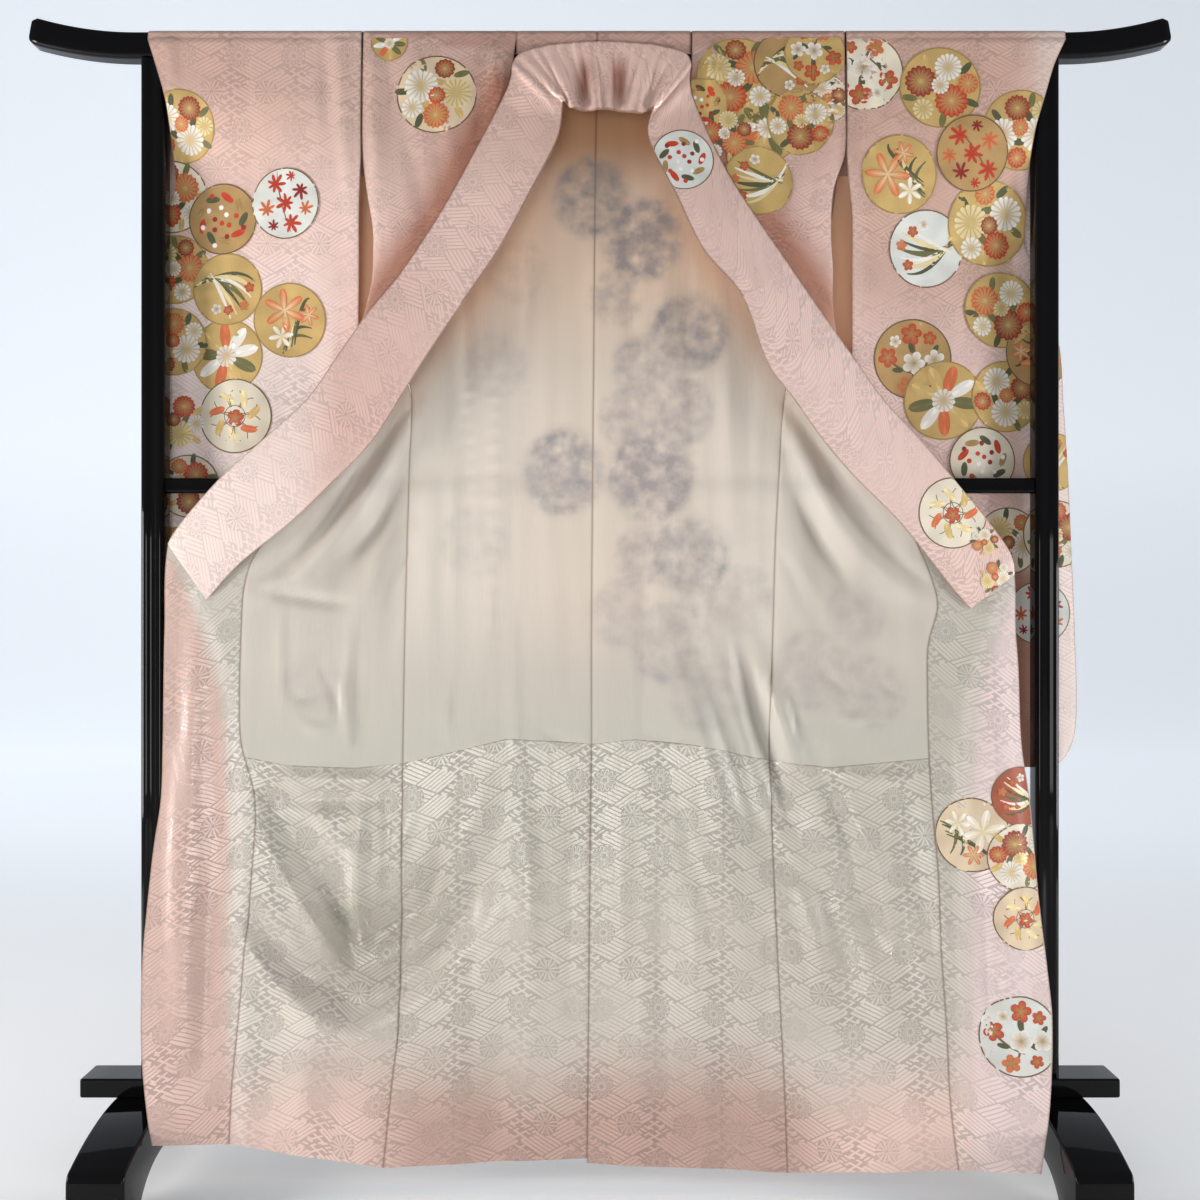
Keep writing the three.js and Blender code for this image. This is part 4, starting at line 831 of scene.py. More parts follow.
def hem_tint(p):
    """Cream figured silk that is dyed pink at the hem (bokashi), in a soft edge, with
    painted shade on its slack pouches and painted light in a few broad patches.
    """
    x, z = p[..., 0], p[..., 2]
    wave = 14 * np.sin(x / 70) + 8 * np.sin(x / 31 + 1)
    low = eased((226 + 60 * eased((np.abs(x) - 470) / 60) + wave - z) / 150)
    base = mixed(CREAM, GREEN_CREAM, 0.45 * eased((z - 200) / 300)) * 0.75
    # painted shade, and painted light where how much is below 0
    for px, pz, wide, high, much in POUCH_SHADE_AND_SHEEN:
        bell = np.exp(-(((x - px) / wide) ** 2 + ((z - pz) / high) ** 2) ** 1.5)
        base = shaded(base, much * bell, (1, 1, 1.15))
    pink = mixed(dye(184, 151, 138), dye(228, 196, 184), eased((np.abs(x) - 240) / 120))
    return mixed(base, pink, low)


# The linings' joint rises over the back and sags across the fronts: x and height.
JOINT_X = [-500, -438, -342, -274, -130, -10, 49, 136, 238, 322, 461]
JOINT_HIGH = [603, 587, 582, 589, 621, 614, 620, 613, 592, 583, 600]


def joint_bent(at, first):
    """The same surface with its wefts bent near the linings' joint, its row first."""
    def bent_at(u, v):
        level = np.interp(at(u, v)[..., 0], JOINT_X, JOINT_HIGH)
        rows = (ROWS[JOINT][0] - level) / 50  # the wefts lie 50 mm apart there
        return at(u, v + rows * np.exp(-((v - first) / 2.6) ** 2))
    return bent_at


def seamed_rows(start, end):
    """Rows from start to end with two more close under the seam at the start."""
    return np.insert(rows_between(start, end), 1, [start + 0.035, start + 0.07])


cream_lining = silk("cream_lining", 0.42, 0.0, 0.8, 0.25)
hem_lining = silk("hem_lining", 0.28, 0.26, 1.0)
for side, turn in SIDES:
    cloth = joint_bent(back_cloth(side), BACK_JOINT)
    panel("back_upper_lining_" + side, "back_lining_" + side, cloth, BACK_SPAN,
          rows_between(2, BACK_JOINT), LINING, turn, lining_tint, cream_lining)
    panel("back_hem_lining_" + side, "back_hakkake_" + side, cloth, BACK_SPAN,
          seamed_rows(BACK_JOINT, BACK_HEM), LINING, turn, hem_tint, hem_lining, top_seam=0.8)


# ---- the fronts ------------------------------------------------------------
# Each is one length from the rail to the hem. The collar draws its edge aside, so
# its wefts slant; it makes a half turn behind the collar and shows its lining below.
def front_cloth(side):
    """The front's surface: s runs 1 at the side edge, 2 at the okumi seam, 3 at the
    front edge, straight between them; above the okumi's point, 1 to 2 reaches the
    front edge itself."""
    def at(s, r):
        s, r = np.broadcast_arrays(np.asarray(s, float), np.asarray(r, float))
        r0 = np.maximum(r, 0)
        a = on_line(SIDE_EDGE[side], weft(side, r0, 0))
        c = on_line(FRONT_EDGE[side], weft(side, r0, 2))
        b = on_line(OKUMI_SEAM[side], np.minimum(weft(side, r0, 1), OKUMI_POINT))
        t = s[..., None]
        parted = np.where(t <= 2, a + (b - a) * (t - 1), b + (c - b) * (t - 2))
        p = np.where(r0[..., None] <= POINT, a + (c - a) * (t - 1), parted)
        p[..., 1] += folded(p[..., 0], p[..., 2]) + 1.25 * creased(p[..., 0], p[..., 2])
        x0, x1 = SIDE_EDGE[side][0][1], FRONT_EDGE[side][0][1]
        return from_rail(p, x0 + (x1 - x0) * (s - 1), r, True)
    return at


def front_hem_tint(p):
    """The hem lining's tint, and a pink band along the front edge that widens from
    nothing below the collar's end to four fingers, with a painted highlight along its
    inner edge."""
    x, z = np.abs(p[..., 0]), p[..., 2]
    inner = np.interp(z, [80, 300, 540, 677, 761, 870, 890], [490, 495, 500, 514, 540, 586, 610])
    pink = eased((x - inner) / 30) * eased((905 - z) / 40)
    band = np.where(p[..., :1] < 0, dye(204, 170, 158), dye(232, 210, 206))
    gleam = np.exp(-((x - inner - 2) / 9) ** 2) * eased((880 - z) / 60)
    return mixed(mixed(hem_tint(p), band, 0.9 * pink), dye(236, 222, 214), 0.35 * gleam)


# Where the fronts turn under the collar they are in its shade: height, distance out.
SHADE = [(850, 640), (898, 611), (992, 530), (1098, 410), (1218, 325), (1361, 222),
         (1449, 177), (1541, 132), (1625, 118)]


def front_tint(p):
    """The outer silk with painted shade: browner in a soft edge along the collar's seam,
    where the collar shades the front, and a little darker towards the top.
    """
    x, z = np.abs(p[..., 0]), p[..., 2]
    # 0.72 turns the level distance into one square to the collar
    out = (x - np.interp(z, *np.array(SHADE, float).T)) * 0.72
    # painted shade beside the collar's seam, and a little towards the top
    near = np.exp(-(np.clip(out - 5, 0, None) / 29) ** 1.6) * eased((z - 950) / 300) * eased((1600 - z) / 60)
    shade = np.clip(1.15 * near + 0.14 * eased((z - 1150) / 300), 0, 1.15)
    return shaded(outer_tint(p), shade, (0.36, 0.56, 0.64))


FRONT_SPAN = spread(1, 2, 36)
OKUMI_SPAN = spread(2, 3, 18, 0.024)
for side, turn in SIDES:
    cloth = front_cloth(side)
    panel("outer_front_" + side, "front_" + side, cloth, FRONT_SPAN,
          np.concatenate([np.linspace(-4.98, 0, 21)[:-1], rows_between(0, HEM)]),
          OUTER, turn, front_tint, pink_damask)
    inside = joint_bent(cloth, JOINT)
    panel("front_upper_lining_" + side, "front_lining_" + side, inside, FRONT_SPAN,
          rows_between(LINED, JOINT), LINING, turn, lining_tint, cream_lining)
    panel("front_hem_lining_" + side, "front_hakkake_" + side, inside, FRONT_SPAN,
          seamed_rows(JOINT, HEM), LINING, turn, front_hem_tint, hem_lining, top_seam=0.8)

# ---- the okumi -------------------------------------------------------------
# Narrow overlap panels between front and front edge, tapered to a point under the
# collar, lined from top to hem with the figured hem lining.
for side, turn in SIDES:
    cloth, rows = front_cloth(side), rows_between(OKUMI_TOP, HEM)
    panel("outer_okumi_" + side, "okumi_" + side, cloth, OKUMI_SPAN, rows,
          OUTER, turn, outer_tint, pink_damask)
    panel("okumi_hem_lining_" + side, "okumi_hakkake_" + side, cloth, OKUMI_SPAN, rows,
          LINING, turn, front_hem_tint, hem_lining)

# ---- the collar ------------------------------------------------------------
# One long band folded double, from the end on the right front round the neck to the
# end on the left front. Where it hangs over the rail its free edge is gathered.
# Its table holds the seam edge's and the free edge's x, y and z.
COLLAR = [
    (-611, -33, 898, -553, -42, 818), (-586, -38, 933, -505, -48, 869), (-530, -48, 992, -432, -58, 926),
    (-470, -53, 1044, -372, -63, 982), (-410, -56, 1098, -316, -66, 1039),
    (-367, -56.5, 1158, -275, -68, 1102), (-325, -56, 1218, -235, -68, 1165),
    (-277, -52, 1278, -191, -66, 1231), (-224, -46, 1361, -141, -60, 1306),
    (-177, -38, 1449, -97, -52, 1390), (-132, -30, 1541, -60, -45, 1465), (-120, -22, 1589, -51, -39, 1513),
    (-82, -18, 1606, -38, -36, 1511), (-40, -17, 1612, -18, -35, 1508), (4, -17, 1614, 8, -35, 1510),
    (48, -17, 1612, 32, -35, 1507), (90, -18, 1606, 58, -36, 1504), (127, -22, 1589, 74, -39, 1507),
    (130, -30, 1534, 68, -43, 1467), (172, -38, 1435, 106, -52, 1386), (215, -46, 1361, 144, -60, 1306),
    (267, -52, 1283, 198, -66, 1239), (321, -56, 1203, 231, -68, 1149), (358, -56.5, 1151, 268, -68, 1098),
    (396, -56, 1098, 309, -66, 1041), (445, -54, 1045, 352, -64, 991), (506, -48, 976, 420, -58, 924),
    (574, -38, 893, 492, -48, 837), (586, -34, 855, 520, -44, 806),
]
# Gathers at the neck: where along the band each fold stands, its depth, its half
# width in rows, and whether it opens at the free edge (1) or at the seam (0).
GATHERS = [(11.25, 9.0, 0.26, 1), (12.15, 15.0, 0.3, 1), (13.55, 15.0, 0.27, 1), (14.12, 11.0, 0.2, 1),
           (15.62, 15.5, 0.36, 1), (16.85, 9.0, 0.3, 1), (11.7, 3.0, 0.14, 0), (12.6, 2.6, 0.12, 0),
           (13.1, 3.2, 0.13, 0), (13.9, 2.4, 0.1, 0), (14.55, 3.0, 0.14, 0), (15.1, 2.6, 0.12, 0),
           (16.2, 3.2, 0.15, 0), (17.2, 3.0, 0.16, 0), (10.7, 4.5, 0.2, 0), (17.75, 4.5, 0.2, 0)]


def band(u, r):
    """The band's surface: u from seam edge to free edge in a straight line, r along a
    Catmull-Rom curve through the table; each gather stands forward as a bell curve
    that grows towards the free edge, and soft waves run along the fronts."""
    u, r = np.broadcast_arrays(np.asarray(u, float), np.asarray(r, float))
    table = np.asarray(COLLAR, float)
    last = len(table) - 1
    i = np.clip(np.floor(r).astype(int), 0, last - 1)
    t = (r - i)[..., None]
    a, b, c, d = (table[np.clip(i + k, 0, last)] for k in (-1, 0, 1, 2))
    row = 0.5 * (2 * b + (c - a) * t + (2 * a - 5 * b + 4 * c - d) * t ** 2
                 + (3 * b - a - 3 * c + d) * t ** 3)
    p = row[..., :3] + (row[..., 3:] - row[..., :3]) * u[..., None]
    p[..., 1] -= 3.2  # clear of the front that it is sewn to
    for place, deep, half_wide, opens in GATHERS:
        grow = (0.08 + 0.92 * np.clip(u, 0, 1.1) ** 1.3 if opens
                else np.sin(math.pi * np.clip(u * 0.8 + 0.12, 0, 1)))
        share = grow * np.exp(-((r - place) / (half_wide * (0.7 + 0.3 * u))) ** 2)
        p[..., 1] -= deep * share
        p[..., 2] -= 0.28 * deep * share * u * opens
    # the free edge curls up at both ends of the gathered part
    for place in (11.0, 17.2):
        p[..., 2] += 7 * eased((u - 0.7) / 0.3) * np.exp(-((r - place) / 0.3) ** 2)
    out = eased((10.5 - r) / 1.5) + eased((r - 18.5) / 1.5)
    p[..., 1] -= out * np.sin(math.pi * u) * (0.8 + 0.5 * np.sin(r * 2.3) + 0.4 * np.sin(r * 5.1 + u * 2))
    return p


def collar_tint(p):
    """The outer silk with painted light a shade lighter round the neck, and painted
    shade: browner in the two deepest hollows of the gathers and a little darker along
    the right front."""
    x, z = p[..., 0], p[..., 2]
    # painted light round the neck
    neck = eased((z - 1490) / 40) * eased((150 - np.abs(x - 5)) / 40)
    # painted shade in the gathers' two deepest hollows and along the right front
    pair = np.exp(-((x + 22) / 11) ** 2) + np.exp(-((x - 27) / 12) ** 2)
    hollow = pair * eased((1600 - z) / 40) * eased((z - 1500) / 40) + 0.2 * eased((-x - 120) / 200)
    return shaded(mixed(outer_tint(p), dye(238, 200, 186), neck), hollow, 1 - dye(176, 138, 120)[:3])


BAND_SPAN, BAND_SKINS, OVER_SKINS = spread(0, 1, 14, 0.02), (-0.7, 0.7), (1.05, 2.2)
BAND_ROWS = np.concatenate([np.linspace(0, 10, 71)[:-1], np.linspace(10, 19, 181)[:-1],
                            np.linspace(19, 28, 64)])
panel("collar_band", "collar", band, BAND_SPAN, BAND_ROWS, BAND_SKINS, 1, collar_tint, pink_damask)

# ---- the over-collar -------------------------------------------------------
# A second band of the same silk laid over the collar round the neck and tacked down
# at its two ends, where its folded edge makes a seam across.
OVER_FROM, OVER_TO = 7, 21
over_rows = BAND_ROWS[(BAND_ROWS >= OVER_FROM) & (BAND_ROWS <= OVER_TO)]
over_rows = np.unique([OVER_FROM, OVER_FROM + 0.02, *over_rows, OVER_TO - 0.02, OVER_TO])
panel("over_collar_band", "over_collar", band, 0.004 + 0.992 * BAND_SPAN, over_rows, OVER_SKINS, 1,
      collar_tint, pink_damask)

# ---- the sleeves -----------------------------------------------------------
# Long bag sleeves: one layer before the rail and one behind, sewn at the bottom and
# the outer edge. They hang past the posts; the inner edge below the shoulder is open.
# Each row holds a height and the inner and outer edges' x and y.
SLEEVE_FRONT = {
    "right": [
        (1618, -340, -18.6, -645, -19.6), (1583, -340, -20, -634, -20), (1533, -340, -23, -620, -19.8),
        (1490, -340, -25, -617, -6), (1450, -339.5, -26.5, -617, 12), (1415, -341, -26, -619, 22),
        (1375, -343, -22, -640, 25.5), (1300, -345, -12, -648, 26.4), (1200, -348, 0, -648, 26.4),
        (1100, -350, 9, -648, 26.4), (1010, -350, 14, -648, 26.4), (900, -350, 14, -649, 26.4),
        (780, -349, 14, -650, 26.4), (664, -348, 15, -650, 26.4), (619, -348, 17, -646, 26.4),
        (591, -348, 22, -634, 26.4), (575, -348, 26.4, -618, 26.4),
    ],
    "left": [
        (1618, 351, -18.6, 664, -19.6), (1583, 351, -20, 648, -20), (1533, 351, -23, 633, -20.4),
        (1490, 351, -25, 621, -19), (1450, 350.5, -26.5, 617, -8), (1415, 353, -26, 616.5, 2),
        (1375, 358, -22, 617, 13), (1335, 360, -16, 619, 21.5), (1290, 361, -10, 640, 25.5),
        (1200, 363, 0, 669, 26.4), (1100, 364, 9, 677, 26.4), (1010, 364, 14, 683, 26.4),
        (900, 364, 14, 688, 26.4), (780, 363, 14, 693, 26.4), (664, 362, 15, 696, 26.4),
        (619, 362, 17, 692, 26.4), (591, 362, 22, 680, 26.4), (575, 362, 26.4, 664, 26.4),
    ],
}
SLEEVE_BACK = {
    "right": [
        (1618, -340, 18.6, -650, 18.6), (1533, -340, 19, -650, 21), (1450, -339.5, 15, -650, 24),
        (1415, -328, 14, -649, 26), (1375, -318, 17.5, -649, 27.2), (1300, -314, 22, -648, 27.4),
        (1200, -318, 29, -648, 27.4), (1110, -336, 32, -648, 27.4), (1010, -351, 34, -648, 27.4),
        (780, -350, 36, -650, 27.4), (664, -348, 35, -650, 27.4), (619, -348, 33, -646, 27.4),
        (591, -348, 30, -634, 27.4), (575, -348, 27.4, -618, 27.4),
    ],
    "left": [
        (1618, 351, 18.6, 668, 18.6), (1533, 351, 19, 667, 21), (1450, 346, 15, 667, 24),
        (1415, 336, 16.5, 667, 25), (1375, 327, 17.5, 667, 26), (1335, 323, 20, 667, 26.8),
        (1290, 325, 23, 667, 27.2), (1200, 329, 29, 669, 27.4), (1110, 354, 32, 676, 27.4),
        (1010, 365, 34, 683, 27.4), (780, 364, 36, 693, 27.4), (664, 362, 35, 696, 27.4),
        (619, 362, 33, 692, 27.4), (591, 362, 30, 680, 27.4), (575, 362, 27.4, 664, 27.4),
    ],
}
SLEEVE_TOP, SLEEVE_FOOT, SLEEVE_END = 1618, 575, 17  # heights, and the last row
# Hanging folds: place and width as shares of the sleeve's width, and depth; then fine
# creases as on the body.
SLEEVE_FOLDS = [(0.22, 0.09, 5), (0.52, 0.1, -5), (0.8, 0.08, 4)]
SLEEVE_CREASES = {
    "right": [(-372, 1640, -368, 1500, -356, 1372, -5.0, 10), (-392, 1640, -394, 1560, -388, 1480, 2.6, 9),
              (-620, 1640, -610, 1590, -606, 1530, -2.6, 10), (-372, 1540, -366, 1300, -378, 1020, 1.8, 9),
              (-410, 1580, -402, 1380, -418, 1150, -1.5, 10), (-452, 1500, -462, 1250, -450, 900, 1.8, 11),
              (-500, 1590, -492, 1420, -506, 1230, 1.5, 10), (-530, 1400, -538, 1150, -526, 860, -1.7, 11),
              (-575, 1560, -568, 1330, -580, 1080, 1.6, 10), (-604, 1380, -600, 1180, -610, 940, -1.4, 9),
              (-430, 1040, -424, 860, -436, 660, 1.7, 11), (-380, 900, -386, 760, -378, 640, -1.4, 9),
              (-610, 900, -604, 760, -612, 640, 1.5, 10)],
    "left": [(384, 1640, 380, 1500, 372, 1390, -5.0, 10), (404, 1640, 408, 1560, 402, 1480, 2.6, 9),
             (384, 1540, 378, 1320, 390, 1060, 1.7, 9), (424, 1590, 432, 1400, 420, 1180, -1.5, 10),
             (470, 1520, 462, 1260, 474, 940, 1.8, 11), (516, 1590, 524, 1430, 512, 1250, 1.4, 9),
             (548, 1420, 540, 1180, 552, 880, -1.7, 11), (590, 1560, 596, 1360, 586, 1120, 1.6, 10),
             (640, 1260, 646, 1080, 640, 860, 1.8, 10), (664, 1180, 670, 980, 668, 740, -1.5, 9),
             (450, 1020, 444, 860, 456, 680, 1.6, 11), (396, 900, 402, 760, 394, 640, -1.4, 9)]}


def sleeve_layer(table, side, near):
    """A layer's surface: t from the inner to the outer edge along straight wefts, r
    from over the rail (-5) to the bottom (17), with the hanging folds on it."""
    rows = table[side]

    def at(t, r):
        t, r = np.broadcast_arrays(np.asarray(t, float), np.asarray(r, float))
        z = SLEEVE_TOP - np.clip(r, 0, None) * (SLEEVE_TOP - SLEEVE_FOOT) / SLEEVE_END
        edges = on_line(rows, z)
        x = edges[..., 0] + (edges[..., 2] - edges[..., 0]) * t
        y = edges[..., 1] + (edges[..., 3] - edges[..., 1]) * t
        hang = eased((1330 - z) / 200) * eased((z - SLEEVE_FOOT) / 120) * eased((1 - t) / 0.12)
        for place, wide, deep in SLEEVE_FOLDS:
            y = y + deep * (1 if near else 0.8) * np.exp(-((t - place) / wide) ** 2) * hang
        inside = eased(t / 0.06) * eased((1 - t) / 0.06) * eased((z - 590) / 90)
        y = y + creased(x, z, SLEEVE_CREASES[side]) * inside
        x0, x1 = rows[0][1], rows[0][3]
        return from_rail(np.stack([x, y, z], -1), x0 + (x1 - x0) * t, r, near)
    return at


def sleeve_tint(p):
    """The outer silk, deep peach-brown in the shade between the left front and the post."""
    x, z = p[..., 0], p[..., 2]
    shade = eased((POST_X + 4 - x) / 14) * eased((x - 540) / 20) * eased((900 - z) / 60)
    return shaded(outer_tint(p), shade, (0.45, 0.62, 0.70))


SLEEVE_SPAN = spread(0, 1, 44)
SLEEVE_ROWS = np.concatenate([np.linspace(-5, 0, 21)[:-1], rows_between(0, SLEEVE_END, 8)])
for side, turn in SIDES:
    panel("sleeve_front_layer_" + side, "sleeve_" + side, sleeve_layer(SLEEVE_FRONT, side, True),
          SLEEVE_SPAN, SLEEVE_ROWS, LINING, turn, sleeve_tint, pink_damask)
    panel("sleeve_back_layer_" + side, "sleeve_" + side, sleeve_layer(SLEEVE_BACK, side, False),
          SLEEVE_SPAN, SLEEVE_ROWS, LINING, -turn, outer_tint, pink_damask)

# ---- the sleeve lining -----------------------------------------------------
# Peach silk on the inside of the sleeve's back layer; it shows down the open edge.
peach_lining = silk("peach_lining", 0.6, 0.0, 0.8, 0.3)


def peach_tint(p):
    """Peach, paler down towards the sleeve's bottom."""
    return mixed(dye(255, 204, 164, 1), dye(252, 212, 182, 1), eased((1300 - p[..., 2]) / 500))


for side, turn in SIDES:
    panel("sleeve_lining_strip_" + side, "sleeve_lining_" + side, sleeve_layer(SLEEVE_BACK, side, False),
          SLEEVE_SPAN[SLEEVE_SPAN <= 0.34], rows_between(3, 15, 9), OUTER, -turn, peach_tint, peach_lining)

# ---- the flower circles ----------------------------------------------------
# Round flower figures (hana no maru), hand-painted in dyes and gold leaf on the sewn
# cloth, each a thin skin on the silk. They crowd the shoulders, sleeves and hem.
GOLD, PALE_GOLD, OLD_GOLD = dye(216, 184, 120, 0.3), dye(236, 216, 164, 0.25), dye(176, 144, 90, 0.3)
WHITE, RED, ORANGE, DARK_RED = dye(240, 234, 224), dye(196, 62, 34), dye(214, 112, 66), dye(150, 40, 30)
OLIVE, MOSS, BROWN, SNOW = dye(112, 108, 66), dye(84, 86, 58), dye(120, 92, 62), dye(226, 228, 224)
GROUNDS = {"gold": GOLD, "cream": dye(238, 228, 208), "tan": dye(196, 160, 108, 0.3), "white": SNOW,
           "beige": dye(232, 210, 180), "brick": dye(176, 96, 70)}


def figure(count, rings, heart, colour, reach, shade, place, size, turn, layer):
    """A filled figure: reach(angle) gives count points of its outline, rings shrink it
    to the middle, its colour runs out from the heart's and shade(angle, ring) darkens it."""
    a = np.linspace(0, 2 * math.pi, count + 1)[:-1]
    k = np.linspace(0, 1, rings + 1)[1:, None]
    far = reach(a) * size
    x = place[0] + k * far * np.cos(a + turn)
    y = place[1] + k * far * np.sin(a + turn)
    hue = np.broadcast_to(mixed(heart, colour, k ** 0.8), x.shape + (4,))
    dark = np.clip(shade(a, k) + 0 * k, 0, 1.3)[..., None]
    hue = np.concatenate([hue[..., :3] * dark, hue[..., 3:]], -1)
    points = np.concatenate([[place], np.stack([x, y], -1).reshape(-1, 2)])
    tints = np.concatenate([[heart], hue.reshape(-1, 4)])
    i, j = np.meshgrid(np.arange(count), np.arange(rings - 1))
    p, q = 1 + j * count + i, 1 + j * count + (i + 1) % count
    strips = np.concatenate([np.stack([p, p + count, q + count], -1), np.stack([p, q + count, q], -1)])
    i = np.arange(count)
    fan = np.stack([0 * i, 1 + i, 1 + (i + 1) % count], 1)
    return [(points, np.concatenate([fan, strips.reshape(-1, 3)]), tints, np.full(len(points), float(layer)))]


def even(a, k=0):
    """A reach or a shade that is the same at every angle."""
    return 1 + 0 * a


def mum(place, size, turn, colour, layer, count=14):
    """A chrysanthemum: a scalloped outline, petals parted by darker lines, gold heart."""
    return figure(count * 4, 4, GOLD, colour, lambda a: 0.86 + 0.14 * np.abs(np.sin(a * count / 2)),
                  lambda a, k: (1 - 0.4 * (np.abs(np.sin(a * count / 2)) < 0.35) * (k > 0.3)
                                - 0.15 * (k < 0.35)), place, size, turn, layer)


def blossom(place, size, turn, colour, layer):
    """A five-petalled plum or cherry flower with a deeper heart."""
    return figure(30, 3, OLD_GOLD, colour, lambda a: 0.62 + 0.38 * np.abs(np.sin(a * 2.5)) ** 0.7,
                  lambda a, k: 1 - 0.3 * (np.abs(np.sin(a * 2.5)) < 0.25) * (k > 0.2),
                  place, size, turn, layer)


def maple(place, size, turn, colour, layer):
    """A maple leaf of seven pointed lobes, the middle one longest."""
    return figure(49, 3, colour * np.array([.7, .7, .7, 1]), colour,
                  lambda a: (0.28 + 0.72 * np.abs(np.cos(a * 3.5 - math.pi / 4)) ** 1.6
                             * (0.75 + 0.25 * np.cos(a - math.pi / 2))),
                  even, place, size, turn, layer)


def lily(place, size, turn, colour, layer):
    """Six long petals with a pale rib down each."""
    return figure(60, 4, PALE_GOLD, colour, lambda a: 0.16 + 0.84 * np.abs(np.cos(a * 3)) ** 1.3,
                  lambda a, k: (1.0 + 0.25 * (np.abs(np.cos(a * 3)) > 0.96)
                                - 0.15 * (np.abs(np.cos(a * 3)) < 0.4)), place, size, turn, layer)


def leaf(place, size, turn, colour, layer):
    """A pointed oval with a lighter midrib."""
    return figure(20, 2, colour, colour, lambda a: 0.42 / np.sqrt((np.cos(a) * 0.42) ** 2 + np.sin(a) ** 2),
                  lambda a, k: 1 + 0.3 * (np.abs(np.sin(a)) < 0.12), place, size, turn, layer)


def berry(place, size, colour):
    """A small round berry, lighter in its middle."""
    return figure(8, 1, colour * np.array([1.2, 1.2, 1.2, 1]), colour, even, even, place, size, 0.0, 2)


def ribbon(one, other, colour, layer):
    """A strip of paint between two lines of as many points."""
    n = len(one)
    i = np.arange(n - 1)
    faces = np.concatenate([np.stack([i, i + n, i + n + 1], 1), np.stack([i, i + n + 1, i + 1], 1)])
    return [(np.concatenate([one, other]), faces, np.tile(colour, (2 * n, 1)), np.full(2 * n, float(layer)))]


def blade(start, bend, end, width, colour, layer):
    """A grass blade or stem: a ribbon along a bent line, thickest in its middle."""
    t = np.linspace(0, 1, 12)[:, None]
    line = (1 - t) ** 2 * np.array(start) + 2 * t * (1 - t) * np.array(bend) + t * t * np.array(end)
    way = np.gradient(line, axis=0)
    side = np.stack([-way[:, 1], way[:, 0]], 1) / np.linalg.norm(way, axis=1)[:, None]
    side = side * width * (0.25 + 0.75 * np.sin(math.pi * np.clip(t, 0.02, 0.98)))
    return ribbon(line + side, line - side, colour, layer)


def ring(size, width, colour, layer, start=0.0, end=1.0, place=(0, 0), turn=0.0):
    """An arc or a whole circle drawn as a line."""
    a = turn + 2 * math.pi * np.linspace(start, end, 41)
    middle, arc = np.array(place), np.stack([np.cos(a), np.sin(a)], 1)
    return ribbon(middle + size * arc, middle + (size - width) * arc, colour, layer)


def polar(r, a):
    """The place at radius r and angle a of the disc."""
    return r * math.cos(a), r * math.sin(a)


def strewn(shape, rows, turn, number):
    """Figures of one shape, listed: place, size and colour, each turned on from and
    lying over the one before."""
    made = []
    for k, (x, y, size, colour) in enumerate(rows):
        made += shape((x, y), size, turn * k + number, colour, 2 + 0.1 * k)
    return made


def mums(number):
    """Six chrysanthemums with leaves between them."""
    made, tones = [], [WHITE, RED, PALE_GOLD, ORANGE, WHITE, DARK_RED]
    for k, (x, y, size) in enumerate(((-0.36, 0.34, 0.4), (0.4, 0.36, 0.34), (0.1, -0.42, 0.42),
                                      (-0.62, -0.3, 0.26), (0.66, -0.22, 0.26), (0.02, 0.04, 0.22))):
        made += mum((x, y), size, k * 0.7 + number, tones[(number + k) % 6], 2 + 0.2 * k,
                    16 if size > 0.3 else 12)
    for k, (x, y, turn) in enumerate((
            (-0.05, 0.72, 1.2), (-0.8, 0.1, 2.6), (0.78, 0.14, 0.4), (-0.3, -0.1, 2.0),
            (-0.3, -0.74, 4.1), (0.52, -0.68, 5.4), (0.36, -0.02, 0.9))):
        made += leaf((x, y), 0.2, turn, (OLIVE, MOSS, GOLD)[(k + number) % 3], 1)
    return made


def plums(number):
    """Plum blossoms and leaves on two twigs."""
    made = blade((-0.75, -0.5), (0.0, -0.3), (0.6, 0.6), 0.035, BROWN, 1)
    made += blade((-0.2, -0.4), (-0.5, 0.2), (-0.35, 0.75), 0.028, BROWN, 1)
    made += strewn(blossom, (
        (0.45, 0.42, 0.28, RED), (-0.05, -0.1, 0.3, WHITE), (-0.38, 0.5, 0.26, RED),
        (-0.6, -0.35, 0.24, ORANGE), (0.35, -0.45, 0.26, WHITE), (0.68, 0.0, 0.18, RED),
        (0.05, 0.62, 0.16, WHITE), (-0.1, -0.72, 0.17, RED)), 1, number)
    for x, y, turn in ((0.2, 0.2, 1.0), (-0.45, 0.1, 2.2), (0.1, -0.4, 5.0), (0.55, -0.3, 0.2)):
        made += leaf((x, y), 0.15, turn, MOSS, 1.5)
    return made


def maples(number):
    """Maple leaves along a twig."""
    return blade((0.75, 0.55), (0.1, 0.3), (-0.7, -0.45), 0.02, BROWN, 1) + strewn(maple, (
        (0.4, 0.48, 0.34, RED), (-0.35, 0.45, 0.3, ORANGE), (0.02, -0.02, 0.34, RED),
        (0.5, -0.3, 0.3, DARK_RED), (-0.45, -0.35, 0.34, RED), (0.05, -0.62, 0.26, ORANGE),
        (-0.72, 0.1, 0.2, DARK_RED), (0.78, 0.1, 0.18, RED)), 1.3, number)


def grasses(number):
    """Seven bent blades with small blossoms."""
    made = []
    for k, (x, width) in enumerate(((-0.62, 0.05), (-0.4, 0.07), (-0.2, 0.05), (0.02, 0.08),
                                    (0.24, 0.05), (0.42, 0.06), (0.6, 0.05))):
        made += blade((0.5 - 0.1 * k, -0.85 + 0.03 * k), (-0.75 + 0.14 * k, -0.2),
                      (x, 0.72 - 0.5 * x * x), width,
                      (OLIVE, MOSS, PALE_GOLD, WHITE)[(k + number) % 4], 1 + 0.1 * k)
    for k, (x, y, colour) in enumerate((
            (0.45, 0.35, RED), (0.62, 0.05, WHITE), (-0.4, 0.5, RED), (0.1, 0.66, ORANGE))):
        made += blossom((x, y), 0.15, k, colour, 2.5)
    return made


